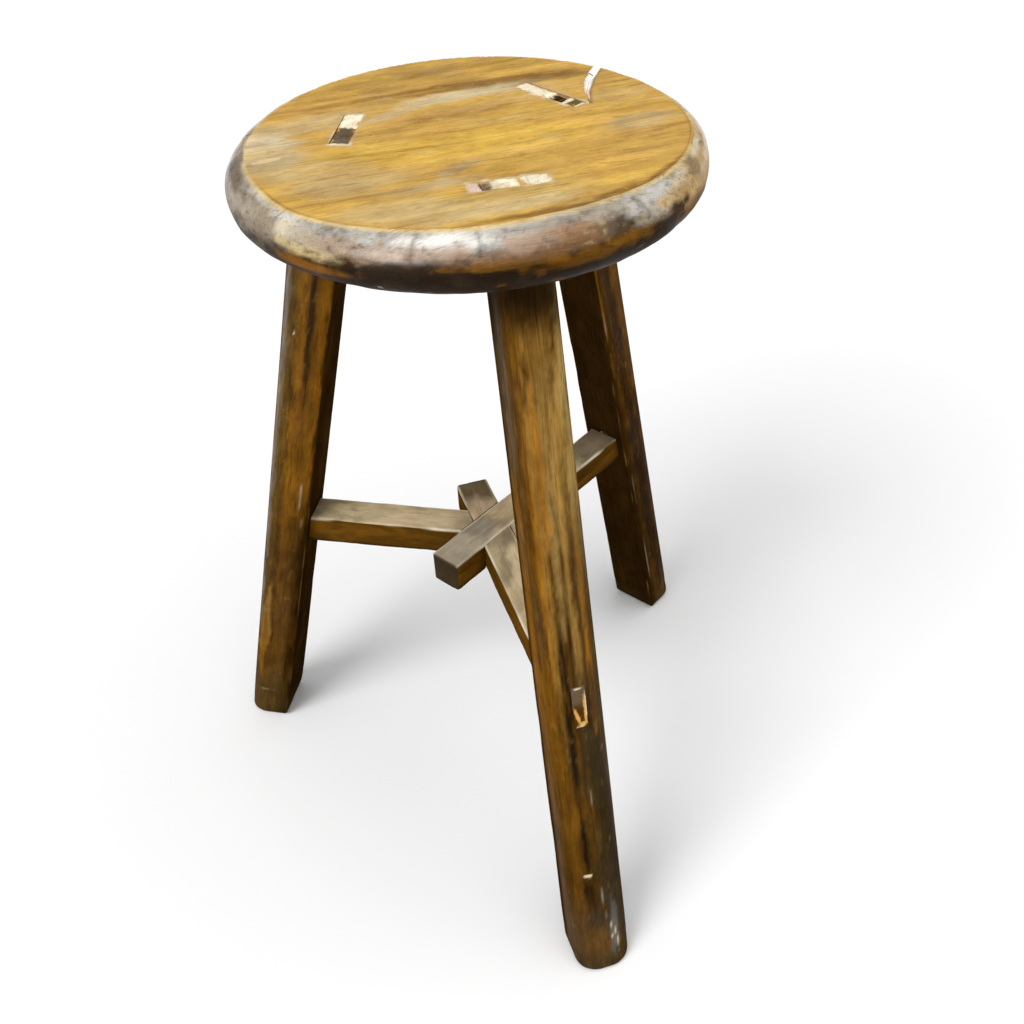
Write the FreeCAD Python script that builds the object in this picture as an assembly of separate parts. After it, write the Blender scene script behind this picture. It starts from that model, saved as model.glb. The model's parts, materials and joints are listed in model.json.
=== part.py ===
"""Three-leg wooden stool: round seat, splayed D-section legs and three stretchers that cross.

Millimetres, +Z up, floor at Z = 0. The origin is the middle of the stool's footprint on the floor,
and the seat's own axis stands over SEAT_AXIS. The front leg points along -Y.
Every piece is first drawn about the seat's axis and is moved to SEAT_AXIS just before export.
"""

import FreeCAD
import Part

import math
import os

from FreeCAD import Vector

# Where the seat's axis stands, so that the origin is the middle of the footprint.
SEAT_AXIS = Vector(3.0, 50.0, 0.0)

# Seat: a turned disc with a round-nosed rim.
HEIGHT = 542.0
SEAT_RADIUS = 142.5
SEAT_THICKNESS = 32.0
TOP_FLAT_RADIUS = 125.0
BOTTOM_FLAT_RADIUS = 129.0
RIM_NOSE_DEPTH = 19.0
UNDERSIDE = HEIGHT - SEAT_THICKNESS

# Split in the seat: points from the right-hand mortise out past the rim, as (x, y, width there).
SPLIT_LINE = [
    (83.5, 14.0, 1.6),
    (90.0, 38.0, 4.6),
    (98.0, 52.5, 6.4),
    (107.5, 65.0, 4.4),
    (119.0, 78.0, 4.6),
]

# Legs: bearing is the compass angle of the leg, counter-clockwise from +X.
# foot_radius and top_radius are from the seat's axis to the middle of the leg, at Z = 0 and TOP_LEVEL.
TOP_LEVEL = 526.0
LEGS = {
    "left": {"bearing": 150.8, "foot_radius": 217.4, "top_radius": 88.5},
    "right": {"bearing": 32.1, "foot_radius": 216.9, "top_radius": 95.3},
    "front": {"bearing": -90.0, "foot_radius": 224.6, "top_radius": 93.5},
}
LEG_WIDTH_FOOT = 42.8
LEG_WIDTH_TOP = 33.3
LEG_DEPTH_FOOT = 37.9
LEG_DEPTH_TOP = 36.5
LEG_CORNER_FOOT = 17.0
LEG_CORNER_TOP = 15.5
SOLE_CHAMFER = 2.5

# Leg tenons and their mortises through the seat. ends are the mortise's two ends at the seat's top,
# measured sideways from the leg's bearing. SEAT_WEDGES names the wedges that fill what the tenon
# leaves, in order along the mortise.
TENON_HALF_LENGTH = 13.0
WEDGE_TIP = 1.5
SEAT_JOINTS = {
    "left": {"radius": 72.0, "thickness": 12.0, "ends": (-21.5, 23.5), "twist": 5.0},
    "right": {"radius": 75.0, "thickness": 10.4, "ends": (-31.0, 22.5), "twist": -7.0},
    "front": {"radius": 74.0, "thickness": 12.0, "ends": (-20.0, 25.5), "twist": -6.0},
}
SEAT_WEDGES = {
    "left": ("rear", "near"),
    "right": ("near", "rear"),
    "front": ("left", "right"),
}

# Stretchers: square bars that lap at one crossing and run on past it.
CROSSING = Vector(0.0, 2.2, 0.0)
BAR_TOP = 237.7
BAR_HEIGHT = 23.7
BAR_WIDTH = 25.3
BAR_OVERRUN = 53.7
BAR_BOTTOM = BAR_TOP - BAR_HEIGHT
UPPER_LAP = BAR_TOP - BAR_HEIGHT / 3.0
LOWER_LAP = BAR_BOTTOM + BAR_HEIGHT / 3.0

# Stretcher tenons through the legs, with a wedge driven in over each one.
BAR_TENON_WIDTH = 9.5
BAR_TENON_BOTTOM = 218.0
BAR_TENON_TOP = 235.5
BAR_WEDGE_RISE = 14.5
BAR_WEDGE_TIP = 0.6

# How far a stretcher's tenon and wedge are drawn before the leg trims them.
RUN_OUT = 60.0

# How far the split's cutter stands clear of the seat, above and below.
CUTTER_CLEARANCE = 1.0


def polar(radius, bearing, z):
    """Point at a radius and bearing from the seat's axis."""
    angle = math.radians(bearing)
    return Vector(radius * math.cos(angle), radius * math.sin(angle), z)


def closed_wire(points):
    """Closed polygon through the points."""
    return Part.makePolygon(points + [points[0]])


def prism(points, height):
    """Upright prism on a flat outline."""
    return Part.Face(closed_wire(points)).extrude(Vector(0, 0, height))


def leg_middle(name, z):
    """Middle of a leg's section at level z."""
    leg = LEGS[name]
    slope = (leg["foot_radius"] - leg["top_radius"]) / TOP_LEVEL
    return leg["foot_radius"] - slope * z


def leg_section(name, z):
    """D-shaped section at level z: flat inner face, square inner corners, round outer corners."""
    share = z / TOP_LEVEL
    half = (LEG_WIDTH_FOOT + share * (LEG_WIDTH_TOP - LEG_WIDTH_FOOT)) / 2.0
    depth = LEG_DEPTH_FOOT + share * (LEG_DEPTH_TOP - LEG_DEPTH_FOOT)
    corner = LEG_CORNER_FOOT + share * (LEG_CORNER_TOP - LEG_CORNER_FOOT)
    middle = leg_middle(name, z)
    inner = middle - depth / 2.0
    outer = middle + depth / 2.0
    bend = outer - corner
    diagonal = corner * math.sqrt(0.5)
    start = Vector(inner, -half, z)
    lines = [
        Part.LineSegment(start, Vector(bend, -half, z)),
        Part.Arc(
            Vector(bend, -half, z),
            Vector(bend + diagonal, -half + corner - diagonal, z),
            Vector(outer, -half + corner, z),
        ),
        Part.LineSegment(Vector(outer, -half + corner, z), Vector(outer, half - corner, z)),
        Part.Arc(
            Vector(outer, half - corner, z),
            Vector(bend + diagonal, half - corner + diagonal, z),
            Vector(bend, half, z),
        ),
        Part.LineSegment(Vector(bend, half, z), Vector(inner, half, z)),
        Part.LineSegment(Vector(inner, half, z), start),
    ]
    wire = Part.Wire([line.toShape() for line in lines])
    return turned(wire, LEGS[name]["bearing"])


def turned(shape, bearing):
    """Copy of a shape drawn along +X, turned to a bearing about the seat's axis."""
    copy = shape.copy()
    copy.rotate(Vector(0, 0, 0), Vector(0, 0, 1), bearing)
    return copy


def leg_blank(name):
    """Leg from the floor to the seat's underside, before any joint is cut."""
    blank = Part.makeLoft([leg_section(name, 0.0), leg_section(name, UNDERSIDE)], True, True)
    sole = [edge for edge in blank.Edges if edge.BoundBox.ZMax < SOLE_CHAMFER]
    return blank.makeChamfer(SOLE_CHAMFER, sole)


def seat_joint_corners(name, z, start, stop):
    """Outline at level z across a seat joint, between two sideways distances."""
    joint = SEAT_JOINTS[name]
    half = joint["thickness"] / 2.0
    depth_under = LEG_DEPTH_FOOT + UNDERSIDE / TOP_LEVEL * (LEG_DEPTH_TOP - LEG_DEPTH_FOOT)
    radius_under = leg_middle(name, UNDERSIDE) - depth_under / 2.0 + half
    share = (z - UNDERSIDE) / SEAT_THICKNESS
    radius = radius_under + share * (joint["radius"] - radius_under)
    corners = [
        Vector(-half, start, z),
        Vector(half, start, z),
        Vector(half, stop, z),
        Vector(-half, stop, z),
    ]
    twist = math.radians(joint["twist"])
    placed = []
    for corner in corners:
        x = radius + corner.x * math.cos(twist) - corner.y * math.sin(twist)
        y = corner.x * math.sin(twist) + corner.y * math.cos(twist)
        placed.append(Vector(x, y, z))
    return turned(closed_wire(placed), LEGS[name]["bearing"])


def leg_tenon(name):
    """Tenon that passes up through the seat and ends flush with its top."""
    low = seat_joint_corners(name, UNDERSIDE, -TENON_HALF_LENGTH, TENON_HALF_LENGTH)
    high = seat_joint_corners(name, HEIGHT, -TENON_HALF_LENGTH, TENON_HALF_LENGTH)
    return Part.makeLoft([low, high], True, True)


def seat_mortise(name):
    """Slot through the seat, longer at the top so that wedges lock the tenon."""
    start, stop = SEAT_JOINTS[name]["ends"]
    reach = TENON_HALF_LENGTH + WEDGE_TIP
    low = seat_joint_corners(name, UNDERSIDE, -reach, reach)
    high = seat_joint_corners(name, HEIGHT, start, stop)
    return Part.makeLoft([low, high], True, True)


def seat_disc():
    """Turned disc with a flat top, a flat underside and a round nose between them."""
    nose_level = HEIGHT - RIM_NOSE_DEPTH
    diagonal = math.sqrt(0.5)
    upper_mid = Vector(
        TOP_FLAT_RADIUS + (SEAT_RADIUS - TOP_FLAT_RADIUS) * diagonal,
        0,
        HEIGHT - RIM_NOSE_DEPTH * (1.0 - diagonal),
    )
    lower_mid = Vector(
        BOTTOM_FLAT_RADIUS + (SEAT_RADIUS - BOTTOM_FLAT_RADIUS) * diagonal,
        0,
        nose_level - (nose_level - UNDERSIDE) * diagonal,
    )
    top_edge = Vector(TOP_FLAT_RADIUS, 0, HEIGHT)
    nose = Vector(SEAT_RADIUS, 0, nose_level)
    bottom_edge = Vector(BOTTOM_FLAT_RADIUS, 0, UNDERSIDE)
    top_middle = Vector(0, 0, HEIGHT)
    bottom_middle = Vector(0, 0, UNDERSIDE)
    outline = [
        Part.LineSegment(top_middle, top_edge),
        Part.Arc(top_edge, upper_mid, nose),
        Part.Arc(nose, lower_mid, bottom_edge),
        Part.LineSegment(bottom_edge, bottom_middle),
        Part.LineSegment(bottom_middle, top_middle),
    ]
    face = Part.Face(Part.Wire([line.toShape() for line in outline]))
    return face.revolve(Vector(0, 0, 0), Vector(0, 0, 1), 360)


def split_cutter():
    """Upright sliver that opens the seat from the right-hand mortise out through the rim."""
    left_side = []
    right_side = []
    for index, (x, y, width) in enumerate(SPLIT_LINE):
        before = SPLIT_LINE[max(index - 1, 0)]
        after = SPLIT_LINE[min(index + 1, len(SPLIT_LINE) - 1)]
        run = Vector(after[0] - before[0], after[1] - before[1], 0).normalize()
        side = Vector(-run.y, run.x, 0) * (width / 2.0)
        middle = Vector(x, y, UNDERSIDE - CUTTER_CLEARANCE)
        left_side.append(middle + side)
        right_side.append(middle - side)
    return prism(left_side + right_side[::-1], SEAT_THICKNESS + 2.0 * CUTTER_CLEARANCE)


def build_seat():
    """Seat with its three mortises and its split."""
    seat = seat_disc()
    for name in LEGS:
        seat = seat.cut(seat_mortise(name))
    return seat.cut(split_cutter())


def bar_bearing(name):
    """Bearing of a stretcher, from the crossing to the middle of its leg."""
    target = polar(leg_middle(name, BAR_TOP), LEGS[name]["bearing"], 0) - CROSSING
    return math.degrees(math.atan2(target.y, target.x))


def along_bar(name, shape):
    """Moves a shape drawn along +X from the crossing so that it lies along a stretcher."""
    copy = turned(shape, bar_bearing(name))
    copy.translate(CROSSING)
    return copy


def bar_length(name):
    """Distance from the crossing to the middle of the leg, at the bars' level."""
    return (polar(leg_middle(name, BAR_TOP), LEGS[name]["bearing"], 0) - CROSSING).Length


def bar_block(name, low, high):
    """Slab of a stretcher's full width between two levels."""
    corner = Vector(-BAR_OVERRUN, -BAR_WIDTH / 2.0, low)
    block = Part.makeBox(BAR_OVERRUN + bar_length(name), BAR_WIDTH, high - low, corner)
    return along_bar(name, block)


def bar_tenon(name):
    """Stretcher tenon, longer than it ends up at both ends."""
    start = bar_length(name) - RUN_OUT / 2.0
    corner = Vector(start, -BAR_TENON_WIDTH / 2.0, BAR_TENON_BOTTOM)
    block = Part.makeBox(RUN_OUT, BAR_TENON_WIDTH, BAR_TENON_TOP - BAR_TENON_BOTTOM, corner)
    return along_bar(name, block)


def bar_wedge(name):
    """Tapered wedge over a stretcher tenon, longer than it ends up at both ends."""
    half_depth = LEG_DEPTH_FOOT / 2.0
    start = bar_length(name) - half_depth
    stop = bar_length(name) + half_depth
    slope = (BAR_WEDGE_RISE - BAR_WEDGE_TIP) / (stop - start)
    reach = RUN_OUT / 2.0 - half_depth
    side = -BAR_TENON_WIDTH / 2.0
    outline = [
        Vector(start, side, BAR_TENON_TOP),
        Vector(stop + reach, side, BAR_TENON_TOP),
        Vector(stop + reach, side, BAR_TENON_TOP + BAR_WEDGE_RISE + slope * reach),
        Vector(start, side, BAR_TENON_TOP + BAR_WEDGE_TIP),
    ]
    solid = Part.Face(closed_wire(outline)).extrude(Vector(0, BAR_TENON_WIDTH, 0))
    return along_bar(name, solid)


def build_leg(name, blank):
    """Leg with its seat tenon, cut for the stretcher's tenon and wedge."""
    leg = blank.fuse(leg_tenon(name)).removeSplitter()
    leg = leg.cut(bar_tenon(name))
    return leg.cut(bar_wedge(name))


def build_stretcher(name, blank):
    """Stretcher: lapped at the crossing, shouldered against its leg, tenoned through it."""
    bar = bar_block(name, BAR_BOTTOM, BAR_TOP)
    if name == "right":
        for other in ("left", "front"):
            bar = bar.cut(bar_block(other, BAR_BOTTOM, UPPER_LAP))
    if name == "front":
        bar = bar.cut(bar_block("right", UPPER_LAP, BAR_TOP))
        bar = bar.cut(bar_block("left", BAR_BOTTOM, LOWER_LAP))
    if name == "left":
        bar = bar.cut(bar_block("right", UPPER_LAP, BAR_TOP))
        bar = bar.cut(bar_block("front", LOWER_LAP, BAR_TOP))
    bar = bar.cut(blank)
    return bar.fuse(bar_tenon(name).common(blank)).removeSplitter()


def build_seat_wedges(name):
    """The two wedges beside a leg's tenon, in order along the mortise."""
    left_over = seat_mortise(name).cut(leg_tenon(name))
    bearing = math.radians(LEGS[name]["bearing"])
    sideways = Vector(-math.sin(bearing), math.cos(bearing), 0)
    return sorted(left_over.Solids, key=lambda solid: solid.CenterOfMass.dot(sideways))


def build_all():
    """Every piece of the stool by its name."""
    pieces = {"seat": build_seat()}
    for name in LEGS:
        blank = leg_blank(name)
        pieces["leg_" + name] = build_leg(name, blank)
        pieces["stretcher_" + name] = build_stretcher(name, blank)
        pieces["stretcher_wedge_" + name] = bar_wedge(name).common(blank)
        for side, wedge in zip(SEAT_WEDGES[name], build_seat_wedges(name)):
            pieces["seat_wedge_" + name + "_" + side] = wedge
    return pieces


def export(pieces):
    """Writes one STEP file per piece."""
    os.makedirs("parts", exist_ok=True)
    for name, shape in pieces.items():
        placed = shape.copy()
        placed.translate(SEAT_AXIS)
        solids = placed.Solids
        if len(solids) != 1 or not placed.isValid():
            raise ValueError(name + " is not one valid solid")
        solids[0].exportStep("parts/" + name + ".step")
        print(name, round(placed.Volume), "mm3")


export(build_all())
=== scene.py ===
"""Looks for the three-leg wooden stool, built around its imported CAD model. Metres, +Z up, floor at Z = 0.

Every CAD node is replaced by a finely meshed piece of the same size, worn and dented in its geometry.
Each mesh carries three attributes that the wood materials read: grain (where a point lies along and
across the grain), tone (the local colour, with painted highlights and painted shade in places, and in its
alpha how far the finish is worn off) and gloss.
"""

import itertools
import json
import math

import bpy
import numpy as np
from mathutils import Matrix, Vector


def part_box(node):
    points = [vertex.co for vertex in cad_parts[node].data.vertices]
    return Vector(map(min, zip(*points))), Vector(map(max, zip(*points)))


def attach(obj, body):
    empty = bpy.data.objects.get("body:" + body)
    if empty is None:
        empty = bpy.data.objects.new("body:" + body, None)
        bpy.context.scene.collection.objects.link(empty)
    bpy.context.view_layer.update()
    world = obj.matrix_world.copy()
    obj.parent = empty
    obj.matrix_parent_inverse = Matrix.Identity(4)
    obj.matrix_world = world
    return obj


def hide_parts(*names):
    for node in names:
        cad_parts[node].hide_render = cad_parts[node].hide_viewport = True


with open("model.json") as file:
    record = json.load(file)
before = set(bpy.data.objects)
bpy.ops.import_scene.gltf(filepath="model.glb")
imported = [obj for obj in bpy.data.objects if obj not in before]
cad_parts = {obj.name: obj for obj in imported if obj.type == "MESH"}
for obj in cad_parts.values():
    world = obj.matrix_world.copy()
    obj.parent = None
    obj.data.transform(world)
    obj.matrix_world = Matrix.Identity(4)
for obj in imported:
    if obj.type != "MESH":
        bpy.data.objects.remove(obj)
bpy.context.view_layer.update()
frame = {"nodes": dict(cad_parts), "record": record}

MM = 0.001
BODY = "root"
LEG_NAMES = ("left", "right", "front")
# How far a cutter runs on past what it cuts.
CUT_PAST = 2 * MM


# ---------------------------------------------------------------- colours

def colour(code):
    """Linear colour from a web colour code."""
    shares = [int(code[start:start + 2], 16) / 255.0 for start in (0, 2, 4)]
    return np.array([((share + 0.055) / 1.055) ** 2.4 for share in shares])


HONEY = colour("cca252")
YELLOW = colour("ddb450")
TAN = colour("c0954f")
BROWN = colour("85602c")
PALE_HAZE = colour("c6b48e")
GREY_HAZE = colour("a39478")
BUFF = colour("ccb684")
CREAM = colour("f2e6ca")
AMBER = colour("7a5113")
ORANGE = colour("8d5c17")
GOLD = colour("a37d3c")
UMBER = colour("55380f")
DARK_BROWN = colour("3c270f")
BLACK_BROWN = colour("1c130a")
OLIVE = colour("5a4720")
GREY_BROWN = colour("6a5c4a")
SILVER = colour("a9a7a0")
PEARL = colour("c9c6bf")
DUSTY = colour("d0bb94")
ROSY = colour("a98f78")
PINK = colour("f0d6c6")
CHALK = colour("fbfaf5")
STONE = colour("aa9e8c")
PALE_TAN = colour("c9a974")
END_GREY = colour("3b3326")
RAW = colour("dba75c")
KHAKI = colour("9c8048")
DARK_OLIVE = colour("3f331b")


# ---------------------------------------------------------------- numbers

def noise(points, size, seed=0):
    """Smooth random values from -1 to 1, with lumps of a size in millimetres, or of one size per axis."""
    place = np.asarray(points, float) / (np.asarray(size, float) * MM) + 31.7 * (seed + 1)
    cell = np.floor(place).astype(np.int64)
    part = place - cell
    ease = part * part * (3.0 - 2.0 * part)
    total = np.zeros(len(place))
    # The big numbers scatter a cell's place into a value that looks random.
    for corner in itertools.product((0, 1), repeat=3):
        spot = cell + np.array(corner)
        mixed = (spot[:, 0] * 374761393 + spot[:, 1] * 668265263 + spot[:, 2] * 962287) & 0x7FFFFFFF
        mixed = ((mixed ^ (mixed >> 13)) * 1274126177) & 0x7FFFFFFF
        value = ((mixed ^ (mixed >> 16)) & 0xFFFF) / 32767.5 - 1.0
        total += value * np.prod(np.where(np.array(corner) == 1, ease, 1.0 - ease), axis=1)
    return total


def fractal(points, size, octaves=4, seed=0):
    """Noise with finer and weaker noise laid over it, about -1 to 1."""
    total = np.zeros(len(points))
    for octave in range(octaves):
        total += noise(points, np.asarray(size, float) / 2.0 ** octave, seed + 7 * octave) / 1.7 ** octave
    return total


def step(value, low, high):
    """0 up to low and 1 from high on, with a smooth step between them."""
    part = np.clip((value - low) / (high - low), 0.0, 1.0)
    return part * part * (3.0 - 2.0 * part)


def spot(u, v, middle, reach, tilt=0.0, ragged=0.0, soft=0.35):
    """1 inside a tilted ellipse and 0 outside it; ragged moves its edge in and out."""
    turn = math.radians(tilt)
    du = u - middle[0]
    dv = v - middle[1]
    along = (du * math.cos(turn) + dv * math.sin(turn)) / reach[0]
    across = (dv * math.cos(turn) - du * math.sin(turn)) / reach[1]
    return 1.0 - step(np.sqrt(along ** 2 + across ** 2) + ragged, 1.0 - soft, 1.0 + soft)


class Paint:
    """Colour, bareness and gloss at each point of a piece."""

    def __init__(self, count, base):
        self.tone = np.tile(base, (count, 1))
        self.bare = np.zeros(count)
        self.gloss = np.full(count, 0.5)

    def over(self, share, tone):
        """Lays a colour over what is there; share is how much of it, at each point."""
        share = np.clip(share, 0.0, 1.0)[:, None]
        self.tone = self.tone * (1.0 - share) + tone * share

    def stains_and_painted_light(self, u, v, rows, ragged, soft, weight=1.0):
        """Lays rows of ragged spots over what is there: stains, and in some rows painted highlights and
        painted shade.

        A row is (u, v, half u, half v, colour, strength), or has a tilt in degrees before its colour.
        """
        for at, level, wide, high, *tilt, tone, strength in rows:
            share = spot(u, v, (at, level), (wide, high), *(tilt or [0.0]), ragged, soft)
            self.over(weight * strength * share, tone)

    def strip(self, share):
        """Takes the finish off, where it is not off already."""
        self.bare = np.maximum(self.bare, share)

    def shade(self, factor):
        """Darkens or lightens what is there."""
        self.tone = self.tone * factor[:, None]


# ---------------------------------------------------------------- meshes

def add_object(name, points, faces):
    """New mesh object in the scene."""
    mesh = bpy.data.meshes.new(name)
    mesh.from_pydata(np.asarray(points).tolist(), [], faces)
    mesh.validate()
    made = bpy.data.objects.new(name, mesh)
    bpy.context.scene.collection.objects.link(made)
    return made


def tube(name, rings):
    """Closed mesh through rings of points, listed from one end to the other."""
    count, around = rings.shape[:2]
    points = np.vstack([rings.reshape(-1, 3), rings[0].mean(axis=0), rings[-1].mean(axis=0)])
    index = np.arange(count * around).reshape(count, around)
    ahead = np.roll(index, -1, axis=1)
    quads = np.stack([index[:-1], ahead[:-1], ahead[1:], index[1:]], axis=-1).reshape(-1, 4).tolist()
    start = count * around
    first_cap = [(b, a, start) for a, b in zip(index[0].tolist(), ahead[0].tolist())]
    last_cap = [(a, b, start + 1) for a, b in zip(index[-1].tolist(), ahead[-1].tolist())]
    return add_object(name, points, quads + first_cap + last_cap)


def mesh_points(piece):
    """The piece's points, as an array."""
    points = np.empty(len(piece.data.vertices) * 3)
    piece.data.vertices.foreach_get("co", points)
    return points.reshape(-1, 3)


def mesh_normals(piece):
    """The outward direction at each of the piece's points."""
    normals = np.empty(len(piece.data.vertices) * 3)
    piece.data.vertex_normals.foreach_get("vector", normals)
    return normals.reshape(-1, 3)


def set_points(piece, points):
    """Moves the piece's points to new places."""
    piece.data.vertices.foreach_set("co", points.ravel())
    piece.data.update()


def press_in(piece, depth):
    """Moves each point inwards by its own depth."""
    set_points(piece, mesh_points(piece) - mesh_normals(piece) * depth[:, None])


def apply_modifiers(piece):
    """Makes the piece's modifiers part of its mesh."""
    graph = bpy.context.evaluated_depsgraph_get()
    changed = bpy.data.meshes.new_from_object(piece.evaluated_get(graph))
    piece.modifiers.clear()
    old = piece.data
    piece.data = changed
    bpy.data.meshes.remove(old)


def cut(piece, cutters):
    """Takes the cutters' shapes out of a piece, then deletes them."""
    for cutter in cutters:
        change = piece.modifiers.new("cut", "BOOLEAN")
        change.operation = "DIFFERENCE"
        change.solver = "EXACT"
        change.object = cutter
        apply_modifiers(piece)
    for cutter in cutters:
        bpy.data.meshes.remove(cutter.data)


def join(piece, others):
    """Adds other meshes to a piece as separate closed shells."""
    meshes = [piece.data] + [other.data for other in others]
    points = []
    faces = []
    for mesh in meshes:
        faces += [[corner + len(points) for corner in face.vertices] for face in mesh.polygons]
        points += [tuple(vertex.co) for vertex in mesh.vertices]
    old = piece.data
    piece.data = bpy.data.meshes.new(piece.name)
    piece.data.from_pydata(points, [], faces)
    bpy.data.meshes.remove(old)
    for other in others:
        bpy.data.meshes.remove(other.data)


ROUNDING_TURNS = np.radians([0.0, 22.5, 45.0, 67.5, 90.0])


def rounded_outline(size_x, size_y, edge, gap):
    """Rounded rectangle, counter-clockwise about the origin."""
    half_x = size_x / 2.0 - edge
    half_y = size_y / 2.0 - edge
    sides = [
        (half_x, -half_y, 0.0, half_y * 2.0),
        (half_x, half_y, 90.0, half_x * 2.0),
        (-half_x, half_y, 180.0, half_y * 2.0),
        (-half_x, -half_y, 270.0, half_x * 2.0),
    ]
    outline = []
    for x, y, facing, length in sides:
        ahead = math.radians(facing)
        outward = np.array([math.cos(ahead), math.sin(ahead)])
        onward = np.array([-math.sin(ahead), math.cos(ahead)])
        count = max(2, round(length / gap))
        start = np.array([x, y]) + outward * edge
        outline += [start + onward * length * share for share in np.arange(count) / count]
        corner = np.array([x, y]) + onward * length
        for angle in ROUNDING_TURNS[:-1]:
            outline.append(corner + edge * (outward * math.cos(angle) + onward * math.sin(angle)))
    return np.array(outline)


def block(name, corners, edge, gap):
    """Six-sided block between eight corners, corners[x][y][z], with rounded edges.

    Its rings run along z, from corners[.][.][0] to corners[.][.][1].
    """
    corners = np.asarray(corners, float)
    size_x = np.linalg.norm((corners[1] - corners[0]).mean(axis=(0, 1)))
    size_y = np.linalg.norm((corners[:, 1] - corners[:, 0]).mean(axis=(0, 1)))
    size_z = np.linalg.norm((corners[:, :, 1] - corners[:, :, 0]).mean(axis=(0, 1)))
    outline = rounded_outline(size_x, size_y, edge, gap)
    lift = edge * (1.0 - np.cos(ROUNDING_TURNS))
    inset = edge * (1.0 - np.sin(ROUNDING_TURNS))
    between = np.linspace(edge, size_z - edge, max(3, round((size_z - 2.0 * edge) / gap)))[1:-1]
    levels = np.concatenate([lift, between, size_z - lift[::-1]])
    insets = np.concatenate([inset, np.zeros(len(between)), inset[::-1]])
    flat = np.array([size_x, size_y]) / 2.0
    rings = []
    caps = np.linspace(0.15, 1.0, max(3, round(min(size_x, size_y) / 2.0 / gap)))[:-1]
    for level, narrow, share in (
        [(0.0, insets[0], share) for share in caps]
        + [(level, narrow, 1.0) for level, narrow in zip(levels, insets)]
        + [(size_z, insets[-1], share) for share in caps[::-1]]
    ):
        unit = outline * (1.0 - narrow / flat) / flat * share
        x = (unit[:, 0:1] + 1.0) / 2.0
        y = (unit[:, 1:2] + 1.0) / 2.0
        z = level / size_z
        ring = np.zeros((len(outline), 3))
        for i, j, k in itertools.product((0, 1), repeat=3):
            weight = (x if i else 1.0 - x) * (y if j else 1.0 - y) * (z if k else 1.0 - z)
            ring += weight * corners[i, j, k]
        rings.append(ring)
    return tube(name, np.array(rings))


def stretched(corners, axis, before, after):
    """The block's corners with its two ends along an axis moved apart."""
    corners = np.moveaxis(np.array(corners, float), axis, 0)
    run = corners[1] - corners[0]
    run /= np.linalg.norm(run, axis=-1, keepdims=True)
    moved = np.stack([corners[0] - run * before, corners[1] + run * after])
    return np.moveaxis(moved, 0, axis)


def grown(corners, amount):
    """The block's corners with every side moved out by an amount."""
    for axis in range(3):
        corners = stretched(corners, axis, amount, amount)
    return corners


# ---------------------------------------------------------------- reading the frame

def cad_points(*nodes):
    """Every point of some CAD nodes."""
    meshes = [frame["nodes"][node].data for node in nodes]
    return np.vstack([np.array([vertex.co for vertex in mesh.vertices]) for mesh in meshes])


def lengthwise(points):
    """Level direction along which a shape is narrowest to look at, so the direction that it runs in."""
    angles = np.radians(np.arange(0.0, 180.0, 0.05))
    across = np.stack([-np.sin(angles), np.cos(angles)])
    angle = angles[np.argmin(np.ptp(points[:, :2] @ across, axis=0))]
    return np.array([math.cos(angle), math.sin(angle), 0.0])


def block_corners(points, along, weights=(1, 1, 3)):
    """Eight outermost corners of a block-like shape, as corners[x][y][z] with x along a level direction.

    The axis with the biggest weight is the one whose two ends are told apart first.
    """
    across = np.array([-along[1], along[0], 0.0])
    local = np.stack([points @ along, points @ across, points[:, 2]], axis=1)
    unit = (local - local.min(axis=0)) / np.ptp(local, axis=0) * 2.0 - 1.0
    corners = np.zeros((2, 2, 2, 3))
    for i, j, k in itertools.product((0, 1), repeat=3):
        signs = np.array([2 * i - 1, 2 * j - 1, 2 * k - 1])
        corners[i, j, k] = points[np.argmax(unit @ (signs * weights))]
    return corners


seat_low, seat_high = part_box("seat")
AXIS = np.array([(seat_low.x + seat_high.x) / 2.0, (seat_low.y + seat_high.y) / 2.0, 0.0])
SEAT_RADIUS = (seat_high.x - seat_low.x) / 2.0
SEAT_TOP = seat_high.z
SEAT_UNDER = seat_low.z
SOLES = {mount["name"]: np.array(mount["pos_m"]) for mount in frame["record"]["mounts"]}

# Points nearer than this in level count as level with each other.
SAME_LEVEL = 0.1 * MM


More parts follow.
